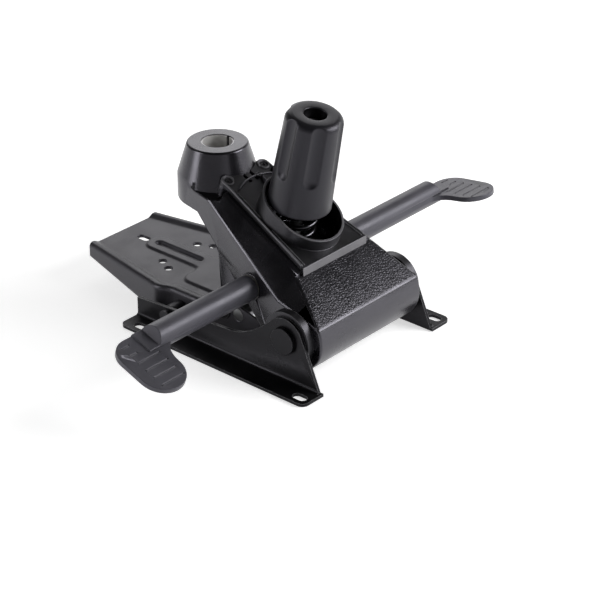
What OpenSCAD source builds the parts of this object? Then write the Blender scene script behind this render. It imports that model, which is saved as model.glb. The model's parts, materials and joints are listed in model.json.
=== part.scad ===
// Synchro tilt mechanism of an office chair, drawn as it lies on its seat flanges:
// gas column socket and tension knob up, front of the chair towards -Y.
// The origin is the centre of the four seat bolts, on the seat plane.

/* [Seat brackets] */
// Distance between the outer faces of the two walls
seat_wall_span = 162; // [158:1:170]
// Thickness of the bracket sheet
seat_sheet = 3; // [2.5:0.25:3.5]
// Distance from a wall to its seat bolts
seat_bolt_in = 15; // [13:0.5:18]
// Distance between the front and rear seat bolts
seat_bolt_y = 196; // [188:1:204]
// Width of a seat bolt slot
seat_slot_w = 9; // [6:0.5:10]
// Length of a seat bolt slot, front to rear
seat_slot_l = 15; // [11:0.5:17]
// Distance from the seat bolts to the side edge of the flange
seat_side_edge = 9.5; // [8:0.5:14]
// Distance from the front bolt to the front end of the bracket
seat_front_edge = 12; // [11:0.5:16]
// Distance from the rear bolt to the rear end of the bracket
seat_rear_edge = 19; // [12:0.5:22]
// Height of the wall at its rear end
seat_rear_h = 21; // [20.5:0.5:23]
// Height of the wall where it starts to rise to the pivot
seat_mid_h = 29; // [27:0.5:31]
// Radius of the wall round the front pivot
seat_lobe_r = 21.5; // [19:0.5:23]
// Inner radius of the bend between wall and flange
seat_bend_r = 3; // [1.5:0.25:4]
// Corner radius of the flanges
seat_corner_r = 7; // [3:0.5:10]

/* [Front pivot] */
// Front pivot, ahead of the origin
front_pivot_y = 66.5; // [65:0.5:68]
// Front pivot, above the seat plane
front_pivot_z = 42; // [41:0.5:44]
// Diameter of the front pivot shaft
front_shaft_d = 16; // [14:0.5:17]
// Wall of the front pivot bushes
front_bush_wall = 2.5; // [2:0.25:3]
// Length of each front pivot bush
front_bush_l = 18; // [12:1:24]
// Diameter of the pivot caps
pivot_cap_d = 26; // [22:0.5:30]
// Thickness of the pivot caps
pivot_cap_t = 4; // [3:0.5:6]
// Thickness of the spacers between nose and walls
pivot_spacer_t = 7.7; // [6:0.1:9]
// Diameter of the spacers between nose and walls
pivot_spacer_d = 52; // [46:1:54]

/* [Housing] */
// Radius of the nose round the front pivot
nose_r = 34; // [33:0.25:35]
// Wall thickness of the casting
housing_wall = 4; // [3:0.25:5]
// Taper of each side wall in plan, in degrees
side_taper = 12.95; // [12:0.05:13.5]
// Lean of the flanks from level, in degrees
flank_lean = 47; // [46:0.5:48]
// Turn of the flanks towards the front, in degrees
flank_sweep = 16; // [15:0.5:17]
// Distance behind the origin where the flanks' half width is taken
flank_y = 16; // [14:0.5:18]
// Half width of the flanks at the height below
flank_x = 55; // [54:0.25:56]
// Height of the flanks at the half width above
flank_z = 106; // [105:0.5:107]
// Height of the underside at the origin
underside_z = 51.3; // [50:0.1:52]
// Slope of the underside, in degrees
underside_slope = 37.1; // [36.5:0.1:37.5]
// Diameter of the bored tube that carries the front pivot
nose_tube_d = 29; // [27:0.5:32]
// Thickness of the inner ribs
rib_t = 8.5; // [7:0.5:9]
// Distance from the middle to the inside of each rib
rib_in = 21; // [20.5:0.25:22]

/* [Column socket] */
// Column axis, behind the origin
column_y = 86.3; // [85:0.1:88]
// Height of the socket's mouth
column_z = 162.6; // [161:0.2:165]
// Diameter of the gas column socket
column_d = 28; // [27.5:0.1:28.5]
// Wall of the steel sleeve in the socket
sleeve_wall = 1.5; // [1:0.25:2.5]
// Depth of the sleeve below the mouth
sleeve_inset = 0.8; // [0.5:0.1:2]
// Width of the key slot in the sleeve
sleeve_key_w = 3; // [2:0.5:4]
// Diameter of the boss at its mouth
boss_top_d = 57; // [55:0.5:59]
// Diameter of the boss at its foot
boss_foot_d = 76; // [75:0.5:77]
// Height where the cone of the boss ends
boss_cone_z = 132; // [130:0.5:134]
// Height of the underside of the boss
boss_bottom_z = 108; // [107:0.5:110]

/* [Cover] */
// Front edge of the cover, ahead of the origin
ridge_y = 55.4; // [54.5:0.1:56]
// Height of the cover's front edge
ridge_z = 96; // [95.5:0.1:97]
// Slope of the cover, in degrees
cover_slope = 22.9; // [22.5:0.1:23.2]
// Thickness of the cover
cover_t = 4; // [3:0.25:4.5]
// Depth of the lip at the cover's front edge
cover_lip_h = 7.3; // [6.5:0.1:8]
// Reach of the lip past the cover's front edge
cover_lip_reach = 4.8; // [4:0.1:5.5]
// Width of the cover at its front edge
cover_front_w = 88; // [84:1:90]
// Width of the cover at its screws
cover_rear_w = 60; // [56:1:64]
// Distance between the cover screws
cover_screw_x = 48; // [46:0.5:50]
// Distance from the front edge to the cover screws
cover_screw_v = 115.5; // [113:0.5:117]
// Radius of the ears round the cover screws
cover_ear_r = 7; // [6:0.25:8]
// Diameter of the cover screws
cover_screw_d = 4; // [3:0.5:5]
// Distance of each vent in the cover from the middle
vent_x = 4.5; // [3:0.25:6]
// Width of the vents
vent_w = 3.2; // [2:0.2:4]
// Length of the vents
vent_l = 12; // [8:0.5:12]
// Distance from the front edge to the middle of the vents
vent_v = 110; // [108:0.5:111]
// Distance from the front edge to the middle of the collar
collar_v = 46.2; // [46:0.2:48]
// Length of the collar's opening up the slope
collar_l = 78; // [77:0.5:80]
// Gap between the knob's lower edge and the collar's sides
collar_gap = 2.5; // [2:0.25:4]
// Wall of the collar
collar_wall = 2.5; // [2:0.25:3]
// Height of the collar above the cover, at its middle
collar_h = 15.8; // [12:0.2:16]
// Slope of the collar's rim past the cover's, in degrees
collar_tilt = 6.5; // [4:0.5:8]
// Distance from the front edge to the hole in the casting under the collar
deck_hole_v = 46.6; // [46:0.2:48]
// Gap between the knob's lower edge and that hole, seen from above
deck_gap = 6.5; // [5.5:0.25:7]

/* [Tension knob] */
// Middle of the knob's lower edge, ahead of the origin
knob_y = 13.7; // [13.2:0.1:14.2]
// Height of the middle of the knob's lower edge
knob_z = 130.6; // [130:0.1:132]
// Lean of the knob towards the front, in degrees
knob_lean = 11.5; // [11.2:0.1:11.8]
// Thickness of the knob's head above its nut
knob_head_t = 12; // [9:0.5:16]
// Diameter at the knob's lower edge
knob_base_d = 59; // [57:0.5:60]
// Diameter at the knob's top
knob_top_d = 53; // [52:0.5:55]
// Diameter of the hole in the knob's top
knob_hole_d = 21; // [18:0.5:22]
// Room round the spring in the knob's hollow
knob_spring_room = 1.6; // [1.2:0.1:2]
// Number of flutes round the knob
flute_count = 6; // [4:1:8]
// Diameter of the flutes
flute_d = 26; // [20:0.5:30]
// Depth of the flutes
flute_depth = 2.6; // [1.5:0.1:3]
// Length of the flutes
flute_l = 54; // [45:1:62]
// Turn of the first flute from the right, in degrees
flute_turn = 51; // [0:1:60]
// Width across the flats of the knob nut
nut_af = 19; // [18:0.25:20]
// Height of the knob nut
nut_h = 10; // [8:0.5:11]

/* [Tension bolt and spring] */
// Diameter of the tension bolt
bolt_d = 12; // [10:0.5:13]
// Diameter of the eye at the bolt's end
bolt_eye_d = 24; // [23:0.5:26]
// Width of the eye at the bolt's end
bolt_eye_w = 20; // [14:1:26]
// Depth of the spring's seat below the knob's lower edge
spring_seat_s = 36; // [34:0.5:38]
// Length of the spring as fitted
spring_l = 102; // [100:0.5:103]
// Mean diameter of the spring
spring_d = 34.8; // [33:0.2:36]
// Diameter of the spring wire
spring_wire = 6; // [4.5:0.1:6.4]
// Number of curls of the spring
spring_curls = 9; // [7:1:10]
// Thickness of the washer under the spring
spring_seat_t = 2; // [1.5:0.25:3]
// Thickness of the cap on the spring
spring_cap_t = 4; // [3:0.25:4.5]
// Thickness of the thrust washer on the cap, with its clearance
washer_t = 3; // [2:0.25:4]
// Thickness of the casting's spring pad
pad_t = 8; // [6:0.5:10]

/* [Back bracket] */
// Thickness of the back bracket's sheet
back_sheet = 3; // [2.5:0.25:3.25]
// Width across the bracket's arms
back_w = 124; // [123:0.5:128]
// Width across the bracket's rear end
back_rear_w = 94; // [88:1:100]
// Rear end of the bracket, behind the origin
back_rear = 216; // [210:1:222]
// Width of the bracket at its widest place
back_wide_w = 136; // [130:1:140]
// Widest place of the bracket, behind the origin
back_shoulder = 104; // [102:1:112]
// Where the arms start to widen, behind the origin
back_step = 93; // [90:1:96]
// Front edge of the plate, behind the origin
back_front = 48; // [47:0.5:54]
// Height of the top of the plate
back_z = 29; // [28:0.5:30]
// Height of the ridges along the edges
back_ridge_h = 3; // [2:0.25:4]
// Width of the ridges along the edges
back_ridge_w = 16; // [12:0.5:18]
// Height of the lower edge of the arms
back_low_z = 6.5; // [6:0.25:8]
// Middle of the round front end of the arms, ahead of the origin
arm_nose_y = 13; // [8:0.5:14]
// Radius of the round front end of the arms
arm_nose_r = 8.5; // [6:0.5:9]
// Height of the pressed field in front of the holes
back_field_h = 1.8; // [1:0.1:2.5]
// Width of the pressed field
back_field_w = 80; // [70:1:84]
// Rear edge of the pressed field, behind the origin
back_field_y = 101; // [96:1:106]
// Corner radius of the pressed field
back_field_r = 9; // [5:0.5:12]
// Width of the field's tongue round the channel
back_tongue_w = 25; // [22:0.5:28]
// Width of the channel in the tongue
back_channel_w = 7; // [5:0.5:9]
// Length of the channel in the tongue
back_channel_l = 60; // [50:1:64]
// Depth of the channel below the field
back_channel_h = 3; // [2.5:0.25:5.5]
// Depth of the bracket's edge at its rear end
back_rear_h = 11; // [8:0.5:14]
// Distance between the wider rear pair of holes
back_hole_wide = 62; // [58:1:66]
// Distance between the narrower rear pair of holes
back_hole_near = 48; // [44:1:52]
// Wider pair of holes, behind the origin
back_hole_wide_y = 124.5; // [122:0.5:127]
// Narrower pair of holes, behind the origin
back_hole_near_y = 139; // [136:0.5:142]
// Diameter of the back bracket's holes
back_hole_d = 8.5; // [6:0.5:10]
// Length of the slot near the rear end
back_slot_l = 15; // [11:0.5:20]
// Distance from the rear end to the slot
back_slot_in = 28; // [22:1:34]

/* [Back pivot and links] */
// Back pivot, behind the origin
back_pivot_y = 26; // [25.5:0.25:26.5]
// Back pivot, above the seat plane
back_pivot_z = 34; // [33.5:0.25:34.5]
// Diameter of the back pivot shaft
back_shaft_d = 14; // [12:0.5:15]
// Wall of the back pivot bushes
back_bush_wall = 2.5; // [2:0.25:3]
// Radius of the casting's lugs round the back pivot
lug_r = 12; // [11.5:0.25:13]
// Thickness of the casting's lugs
lug_t = 9.5; // [8:0.5:10]
// Distance from the middle to the outside of each lug
lug_out = 49.5; // [49:0.25:50]
// Diameter of the cross bar that pulls the bolt
cross_bar_d = 12; // [10:0.5:12.5]
// Link pins, behind the origin
link_y = 78; // [77.5:0.25:78.5]
// Link pins, above the seat plane
link_z = 15; // [14.75:0.25:15.25]
// Diameter of the link pins
link_d = 8; // [7:0.25:8.5]
// Diameter of the link spacers
link_spacer_d = 18; // [14:0.5:18.5]
// Length of the slot that the link pin slides in, past the pin
link_slot_travel = 4; // [3:0.25:6]

/* [Levers] */
// Lever axis, ahead of the origin
lever_y = 9.2; // [9:0.1:9.4]
// Lever axis, above the seat plane
lever_z = 68.1; // [67.8:0.1:68.4]
// Diameter of the steel lever rods
rod_d = 10; // [9:0.25:10.5]
// Inner end of each rod, from the middle
rod_in = 18; // [17:0.25:18.5]
// Length of rod inside the handle
rod_reach = 66; // [40:1:90]
// Diameter of the handles
handle_d = 24; // [22:0.25:25]
// End of the lock lever's handle, from the middle
lock_handle_end = 202; // [190:1:215]
// End of the height lever's handle, from the middle
height_handle_end = 215; // [200:1:230]
// Length of a paddle
paddle_l = 67; // [60:1:72]
// Width of a paddle
paddle_w = 45; // [38:1:48]
// Thickness of a paddle
paddle_t = 5; // [4:0.25:7]
// Middle of a paddle past the end of its handle
paddle_out = 7; // [4:0.5:10]
// Droop of the lock lever's paddle, in degrees
lock_droop = 20; // [14:1:26]
// Rise of the height lever's paddle, in degrees
height_rise = 8; // [4:1:12]
// Wall of the lever bushes
lever_bush_wall = 4; // [3:0.25:4.5]

/* [Height release] */
// Reach of the finger on the height lever
finger_l = 16; // [15:0.25:17]
// Height of the finger's hub
finger_hub_d = 18; // [16:0.5:18]
// Thickness of the rocker's sheet
rocker_t = 3; // [2.5:0.25:3.5]
// Rocker pivot, behind the origin
rocker_y = 30; // [29.5:0.25:30.5]
// Rocker pivot, above the seat plane
rocker_z = 78; // [77.5:0.25:78.5]
// Diameter of the rocker pin
rocker_pin_d = 8; // [6:0.5:9]
// Height of the tab under the column socket
rocker_tab_z = 99; // [98:0.25:100]

/* [Tilt lock] */
// Radius of the crank on the lock lever
crank_r = 13; // [12.5:0.1:13.5]
// Diameter of the crank's pin
crank_pin_d = 5; // [4:0.25:5.25]
// Angle that the lock lever turns through
lock_turn = 42; // [40:1:43]
// Width of the lock blade
blade_w = 12; // [11:0.25:12.5]
// Thickness of the lock blade
blade_t = 3.5; // [3:0.25:3.75]
// Width of the blade's nose
blade_nose_w = 3.2; // [2.8:0.1:3.4]
// Depth of the blade in the comb when locked
blade_bite = 4.5; // [3.5:0.25:5]
// Length of the closed part of the blade's guide
guide_l = 4.5; // [3.5:0.25:5.5]
// Angle between two locked positions
comb_step = 10; // [9.5:0.5:10.5]

/* [Fits] */
// Radial clearance of a shaft that turns
running = 0.05; // [0.02:0.01:0.1]
// Clearance between faces that pass each other
passing = 0.3; // [0.3:0.05:0.5]
// Play of a link that a slot or eye takes up
link_play = 0.7; // [0.6:0.05:0.8]

/* [Hidden] */
$fn = 64;
far = 400;

// Places in the middle plane, as front to rear and height
front_pivot = [-front_pivot_y, front_pivot_z];
back_pivot = [back_pivot_y, back_pivot_z];
lever_axis = [-lever_y, lever_z];
link_place = [link_y, link_z];
rocker_pivot = [rocker_y, rocker_z];

// Point on a circle, an arc of points and a curve between two points drawn to a third
function polar(r, a) = [r * cos(a), r * sin(a)];
function arc(c, r, a0, a1, n = 24) = [for (i = [0:n]) c + polar(r, a0 + (a1 - a0) * i / n)];
function curve(a, b, c, n = 10) =
    [for (i = [0:n]) let (t = i / n) a * (1 - t) * (1 - t) + b * 2 * t * (1 - t) + c * t * t];
function angle_of(v) = atan2(v[1], v[0]);

// Seat brackets
wall_out = seat_wall_span / 2;
wall_in = wall_out - seat_sheet;
seat_bolt_x = seat_wall_span + 2 * seat_bolt_in;
flange_out = seat_bolt_x / 2 + seat_side_edge;
seat_front = seat_bolt_y / 2 + seat_front_edge;
seat_rear = seat_bolt_y / 2 + seat_rear_edge;

// Nose and its fit between the seat walls
nose_half = wall_in - pivot_spacer_t - passing;
front_bush_d = front_shaft_d + 2 * front_bush_wall;

// Cover plane: v runs up the slope from the front edge, w stands on the cover
function cover_point(v, w) = [-ridge_y + v * cos(cover_slope) - w * sin(cover_slope),
    ridge_z + v * sin(cover_slope) + w * cos(cover_slope)];
lip_back = 1.5;
screw_l = 9;
ear_depth = screw_l + 3;
screw_head_d = 2 * cover_screw_d;
slope_top = cover_point(-cover_lip_reach, -cover_lip_h);
deck_rear_v = 108;
nose_edge_angle = 152;
nose_tip_angle = -38.5;

// Side walls in plan: they leave the round rear end on a tangent and reach the nose's width
boss_foot_r = boss_foot_d / 2;
tangent_x = boss_foot_r * cos(side_taper);
tangent_y = column_y + boss_foot_r * sin(side_taper);
widest_y = tangent_y - (nose_half - tangent_x) / tan(side_taper);
function side_x(y) = tangent_x + (tangent_y - y) * tan(side_taper);
function underside(y) = underside_z + y * tan(underside_slope);
boss_bottom_y = (boss_bottom_z - underside_z) / tan(underside_slope);
rib_out = rib_in + rib_t;

// Knob axis: s runs up it from the middle of the knob's lower edge
cap_bottom_s = spring_l - spring_seat_s;
knob_bore_d = spring_d + spring_wire + 2 * knob_spring_room;
knob_bore_l = cap_bottom_s + spring_cap_t + washer_t;
nut_top_s = knob_bore_l + nut_h;
knob_l = nut_top_s + knob_head_t;
spring_cap_d = knob_bore_d - 3;
spigot_d = spring_d - spring_wire - 2;
well_d = knob_bore_d + 6;
pad_top_s = -spring_seat_s - spring_seat_t;
collar_in = knob_base_d + 2 * collar_gap;
// The knob sinks by the bolt's pull at full recline and by the turns on its thread
knob_travel = 16.1;
knob_room = 1.5;

// Cross bar: on the knob axis, just under the level of the back pivot
cross_bar_z = back_pivot_z - 0.5;
cross_bar_s = -(knob_z - cross_bar_z) / cos(knob_lean);
cross_bar = [-knob_y - cross_bar_s * sin(knob_lean), cross_bar_z];

// Back bracket
arm_out = back_w / 2;
arm_in = arm_out - back_sheet;
rear_half = back_rear_w / 2;
wide_half = back_wide_w / 2;
back_bush_d = back_shaft_d + 2 * back_bush_wall;
back_channel_y = back_hole_near_y + 1;
back_tongue_y = back_channel_y + (back_channel_l - back_channel_w) / 2;
shaft_proud = 3;
link_nut_af = 13;
link_nut_h = 6.5;
link_head_h = 3.5;
arm_room = 1.1;
arm_nose = [-arm_nose_y, underside(-arm_nose_y) - (arm_nose_r + arm_room) / cos(underside_slope)];
arm_low_y = cross_bar[0] + 6;

// Lever parts along the lever axis
spot_proud = 1.5;
spot_face = side_x(-lever_y) + spot_proud;
lever_bush_l = 12;
bush_flange_t = 1.5;
handle_start = spot_face + bush_flange_t + passing;
lever_bush_d = rod_d + 2 * lever_bush_wall;
clip_t = 1.2;

// Rocker sheet beside the rib, with the finger above its front end
rocker_in = rib_out + passing;
rocker_front_z = lever_z - 6.1;
finger_in = rocker_in;
finger_w = 8;

// Lock: the blade slides on a line from the crank pin's middle position to the back pivot
lock_span = back_pivot - lever_axis;
lock_mid_angle = angle_of(lock_span) + acos(crank_r / norm(lock_span));
slide_angle = lock_mid_angle - 90;
crank_mid = lever_axis + polar(crank_r, lock_mid_angle);
crank_half = crank_r * sin(lock_turn / 2);
guide_start = crank_half + crank_pin_d / 2 + 2 * passing;
guide_end = guide_start + guide_l;
comb_gap = 1;
comb_t = guide_end + comb_gap;
comb_r = norm(back_pivot - crank_mid) - comb_t;
blade_tip = comb_t + blade_bite - 2 * crank_half;
blade_in = rib_out + passing;
blade_out = blade_in + blade_t;
guide_out = blade_out + 3.5;
crank_in = guide_out + passing;
crank_t = 5;

// Lay a flat outline, drawn front to rear and height, across the part
module across(width) { rotate([90, 0, 90]) linear_extrude(width, center = true) children(); }
module between(x0, x1) {
    translate([x0, 0, 0]) rotate([90, 0, 90]) linear_extrude(x1 - x0) children();
}
// Round bar across the part, from one side place to another
module cross_rod(place, d, x0, x1) {
    translate([x0, place[0], place[1]]) rotate([0, 90, 0]) cylinder(d = d, h = x1 - x0);
}
module cross_ring(place, d, bore, x0, x1) {
    difference() {
        cross_rod(place, d, x0, x1);
        cross_rod(place, bore, x0 - 1, x1 + 1);
    }
}
module both_sides() {
    children();
    mirror([1, 0, 0]) children();
}
module on_cover() { translate([0, -ridge_y, ridge_z]) rotate([cover_slope, 0, 0]) children(); }
module on_knob() { translate([0, -knob_y, knob_z]) rotate([knob_lean, 0, 0]) children(); }
module on_slide() {
    translate([0, crank_mid[0], crank_mid[1]]) rotate([slide_angle, 0, 0]) children();
}
module slot_hole(w, l, h) {
    for (e = [-1, 1]) translate([0, e * (l - w) / 2, 0]) cylinder(d = w, h = h);
    translate([-w / 2, -(l - w) / 2, 0]) cube([w, l - w, h]);
}

// Casting: side outline, plan outline and the planes of the two flanks
module housing_side() {
    deck_rear = cover_point(deck_rear_v, -cover_t);
    block_top = boss_cone_z - 4;
    polygon(concat(
        arc(front_pivot, nose_r, nose_edge_angle, 360 + nose_tip_angle, 40),
        [[boss_bottom_y, boss_bottom_z], [far, boss_bottom_z], [far, block_top],
        [deck_rear[0], block_top], deck_rear, cover_point(-lip_back, -cover_t),
        cover_point(-lip_back, -cover_lip_h), slope_top]));
}
module housing_plan(inset) {
    translate([0, column_y]) circle(r = boss_foot_r - inset);
    polygon([for (p = [[tangent_x, tangent_y], [nose_half, widest_y], [nose_half, -far],
        [-nose_half, -far], [-nose_half, widest_y], [-tangent_x, tangent_y]])
        [p[0] - sign(p[0]) * inset, p[1]]]);
}
module flank_cut(inset) {
    both_sides() translate([flank_x, flank_y, flank_z]) rotate([0, flank_lean, -flank_sweep])
        translate([-far, -far, -inset]) cube([2 * far, 2 * far, far]);
}
// Cone of the boss, carried on below its foot until the flanks swallow it
module boss_cone(room) {
    spread = (boss_foot_d - boss_top_d) / (column_z - boss_cone_z);
    cone_h = column_z - boss_bottom_z;
    translate([0, column_y, boss_bottom_z]) cylinder(d1 = boss_top_d + spread * cone_h + 2 * room,
        d2 = boss_top_d + 2 * room, h = cone_h);
}
module housing_block() {
    difference() {
        intersection() {
            across(2 * nose_half + 2) housing_side();
            linear_extrude(far) housing_plan(0);
        }
        flank_cut(0);
    }
    intersection() {
        boss_cone(0);
        linear_extrude(far) housing_plan(0);
    }
    for (s = [-1, 1]) on_cover() translate([s * cover_screw_x / 2, cover_screw_v,
        -cover_t - ear_depth]) cylinder(r = cover_ear_r, h = ear_depth);
}
module housing_hollow() {
    inner_r = nose_r - housing_wall;
    slope_in = cover_point(2, -cover_t - housing_wall);
    difference() {
        intersection() {
            across(2 * nose_half) polygon(concat(
                arc(front_pivot, inner_r, nose_edge_angle, 360 + nose_tip_angle, 40),
                [[-front_pivot_y + inner_r + 6, -10], [column_y, -10],
                cover_point(deck_rear_v + 5, -cover_t - housing_wall), slope_in,
                slope_top + [2.4, -4]]));
            translate([0, 0, -20]) linear_extrude(far) housing_plan(housing_wall);
        }
        flank_cut(housing_wall);
        translate([0, column_y, 0]) cylinder(d = boss_foot_d, h = far);
    }
}
// Web along each side of the bolt: it carries the lever rods, the rocker and the lock blade
module housing_ribs() {
    both_sides() between(rib_in, rib_out) polygon([[-lever_y - 16, lever_z - 11],
        [-lever_y + 12, lever_z - 12], [back_pivot_y, rocker_z - 12],
        [rocker_y + 18, rocker_z + 4], [rocker_y + 22, far / 2], [-lever_y - 26, far / 2]]);
}
// Guide for the lock blade: two rails on the left web, closed to a tunnel next to the comb
module blade_guide() {
    rail = 3;
    rail_start = -crank_half - crank_pin_d / 2 - 2;
    room_w = blade_w + 2 * passing;
    on_slide() translate([-guide_out, 0, 0]) difference() {
        translate([0, rail_start, -room_w / 2 - rail])
            cube([guide_out - rib_out + 1, guide_end - rail_start, room_w + 2 * rail]);
        translate([guide_out - blade_out - passing, rail_start - 1, -room_w / 2])
            cube([blade_out + passing - rib_out, far, room_w]);
        translate([-1, rail_start - 1, -room_w / 2])
            cube([guide_out, guide_start - rail_start + 1, room_w]);
    }
}
module lugs() {
    both_sides() between(lug_out - lug_t, lug_out) {
        translate(back_pivot) circle(r = lug_r);
        polygon([back_pivot + [-lug_r, 0], back_pivot + [lug_r, 0],
            [back_pivot_y + lug_r + 4, underside(back_pivot_y + lug_r + 4) + 10],
            [back_pivot_y - lug_r, underside(back_pivot_y + lug_r) + 4]]);
    }
}
module housing() color([0.13, 0.13, 0.14]) {
    difference() {
        union() {
            difference() {
                housing_block();
                housing_hollow();
            }
            cross_rod(front_pivot, nose_tube_d, -nose_half, nose_half);
            intersection() {
                housing_block();
                union() {
                    housing_ribs();
                    on_knob() translate([-nose_half, -well_d / 2 - 4, pad_top_s - pad_t])
                        cube([2 * nose_half, well_d + 8, pad_t]);
                }
            }
            both_sides() cross_rod(lever_axis, lever_bush_d + 2 * housing_wall,
                spot_face - lever_bush_l, spot_face);
            lugs();
            blade_guide();
        }
        translate([0, column_y, 0]) cylinder(d = column_d + 2 * sleeve_wall, h = far);
        cross_rod(front_pivot, front_bush_d, -far, far);
        both_sides() {
            cross_rod(lever_axis, lever_bush_d, spot_face - lever_bush_l - 1, far);
            cross_rod(lever_axis, handle_d + 2 * passing, spot_face, far);
        }
        cross_rod(lever_axis, rod_d + 2 * running, -guide_out - 1, rib_out + 1);
        cross_rod(back_pivot, back_bush_d, -far, far);
        cross_rod(rocker_pivot, rocker_pin_d, rib_in, rib_out + 1);
        on_knob() translate([0, 0, pad_top_s]) cylinder(d = well_d, h = far);
        on_knob() translate([0, 0, -knob_travel - knob_room])
            cylinder(d = knob_base_d + 2 * knob_room, h = far);
        on_cover() translate([0, deck_hole_v, -cover_t - housing_wall - 1])
            cylinder(d = knob_base_d + 2 * deck_gap, h = far);
        on_knob() translate([0, 0, pad_top_s - pad_t - far / 2])
            cylinder(d = bolt_d + 2 * passing, h = far);
        for (s = [-1, 1]) on_cover()
            translate([s * cover_screw_x / 2, cover_screw_v, -cover_t]) {
                translate([0, 0, -screw_l]) cylinder(d = cover_screw_d, h = 2 * screw_l);
                cylinder(d = screw_head_d, h = far);
            }
    }
}
module column_sleeve() color([0.72, 0.72, 0.72]) {
    sleeve_r = column_d / 2 + sleeve_wall;
    translate([0, column_y, boss_bottom_z]) difference() {
        cylinder(r = sleeve_r, h = column_z - sleeve_inset - boss_bottom_z);
        translate([0, 0, -1]) cylinder(d = column_d, h = far);
        translate([0, -sleeve_key_w / 2, column_z - boss_bottom_z - 14])
            cube([sleeve_r + 1, sleeve_key_w, far]);
    }
}

// Collar round the knob's foot: straight sides up the slope, round ends and a rim steeper than the cover
module collar() {
    translate([0, collar_v, 0]) difference() {
        translate([0, 0, -cover_t]) slot_hole(collar_in + 2 * collar_wall, collar_l + 2 * collar_wall,
            cover_t + 2 * collar_h);
        translate([0, 0, collar_h]) rotate([collar_tilt, 0, 0]) translate([-far / 2, -far / 2, 0]) cube(far);
    }
}
// Cover: plate on the casting's deck, a lip at the front, ears for two screws and the collar
module mechanism_cover() color([0.16, 0.16, 0.17]) {
    difference() {
        on_cover() union() {
            translate([0, 0, -cover_t]) linear_extrude(cover_t) {
                polygon([[-cover_front_w / 2, -lip_back], [cover_front_w / 2, -lip_back],
                    [cover_rear_w / 2, cover_screw_v], [cover_screw_x / 2, cover_screw_v + cover_ear_r],
                    [-cover_screw_x / 2, cover_screw_v + cover_ear_r], [-cover_rear_w / 2, cover_screw_v]]);
                for (s = [-1, 1]) translate([s * cover_screw_x / 2, cover_screw_v])
                    circle(r = cover_ear_r);
            }
            rotate([90, 0, 90]) linear_extrude(cover_front_w, center = true)
                polygon([[0, 0], [-lip_back, 0], [-cover_lip_reach, -cover_lip_h],
                    [-lip_back, -cover_lip_h], [-lip_back, -cover_t], [0, -cover_t]]);
            collar();
        }
        on_cover() translate([0, collar_v, -far / 2]) slot_hole(collar_in, collar_l, far);
        for (s = [-1, 1]) on_cover() translate([s * cover_screw_x / 2, cover_screw_v, 0]) {
            translate([0, 0, -far / 2]) cylinder(d = cover_screw_d, h = far);
            translate([0, 0, -cover_t / 2]) cylinder(d = screw_head_d, h = far);
        }
        for (s = [-1, 1]) on_cover()
            translate([s * vent_x - vent_w / 2, vent_v - vent_l / 2, -far / 2])
                cube([vent_w, vent_l, far]);
        boss_cone(passing);
    }
}
module cover_screws() color([0.25, 0.25, 0.26]) {
    head_h = cover_t / 2 - 0.3;
    for (s = [-1, 1]) on_cover() translate([s * cover_screw_x / 2, cover_screw_v, -cover_t / 2])
        difference() {
            union() {
                cylinder(d = screw_head_d - 0.4, h = head_h);
                translate([0, 0, -cover_t / 2 - screw_l])
                    cylinder(d = cover_screw_d, h = screw_l + cover_t / 2);
            }
            translate([0, 0, head_h - 1]) cylinder(d = cover_screw_d, h = 2, $fn = 6);
        }
}

// Bushes pressed into the casting
module front_pivot_bushes() color([0.55, 0.55, 0.53]) {
    both_sides() cross_ring(front_pivot, front_bush_d, front_shaft_d + 2 * running,
        nose_half - front_bush_l, nose_half);
}
module back_pivot_bushes() color([0.75, 0.74, 0.7]) {
    bore = back_shaft_d + 2 * running;
    both_sides() {
        cross_ring(back_pivot, back_bush_d, bore, lug_out - lug_t, lug_out);
        cross_ring(back_pivot, 2 * lug_r - 1, bore, lug_out, arm_in - passing);
    }
}
module lever_bushes() color([0.2, 0.2, 0.2]) {
    bore = rod_d + 2 * running;
    both_sides() {
        cross_ring(lever_axis, lever_bush_d, bore, spot_face - lever_bush_l, spot_face);
        cross_ring(lever_axis, handle_d, bore, spot_face, spot_face + bush_flange_t);
    }
}

// Main spring: one wire swept along a helix, on a washer in the casting's well
curl_rings = 8;
wire_sides = 6;
spring_rings = spring_curls * curl_rings;
spring_rise = spring_l - spring_wire;
spring_r = spring_d / 2;
function helix(i) = [spring_r * cos(360 * i / curl_rings), spring_r * sin(360 * i / curl_rings),
    spring_wire / 2 - spring_seat_s + spring_rise * i / spring_rings];
function helix_gap(i) = min([for (j = [i + curl_rings - 2:min(i + curl_rings + 2, spring_rings)])
    norm(helix(i) - helix(j))]) - spring_wire;
echo(spring_least_gap = min([for (i = [0:spring_rings - curl_rings + 2]) helix_gap(i)]));
module main_spring() color([0.09, 0.09, 0.09]) {
    pitch_angle = atan2(spring_rise / spring_curls, 2 * PI * spring_r);
    points = [for (i = [0:spring_rings], k = [0:wire_sides - 1])
        let (turn = 360 * i / curl_rings, a = 360 * (k + 0.5) / wire_sides,
            out = [cos(turn), sin(turn), 0],
            rise = [sin(turn) * sin(pitch_angle), -cos(turn) * sin(pitch_angle), cos(pitch_angle)])
        helix(i) + spring_wire / 2 * (cos(a) * out + sin(a) * rise)];
    sides = [for (i = [0:spring_rings - 1], k = [0:wire_sides - 1])
        let (a = i * wire_sides + k, b = i * wire_sides + (k + 1) % wire_sides)
        each [[a, b, a + wire_sides], [b, b + wire_sides, a + wire_sides]]];
    last = spring_rings * wire_sides;
    ends = [for (k = [1:wire_sides - 2]) each [[0, k + 1, k], [last, last + k, last + k + 1]]];
    on_knob() polyhedron(points, concat(sides, ends));
}
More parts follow.
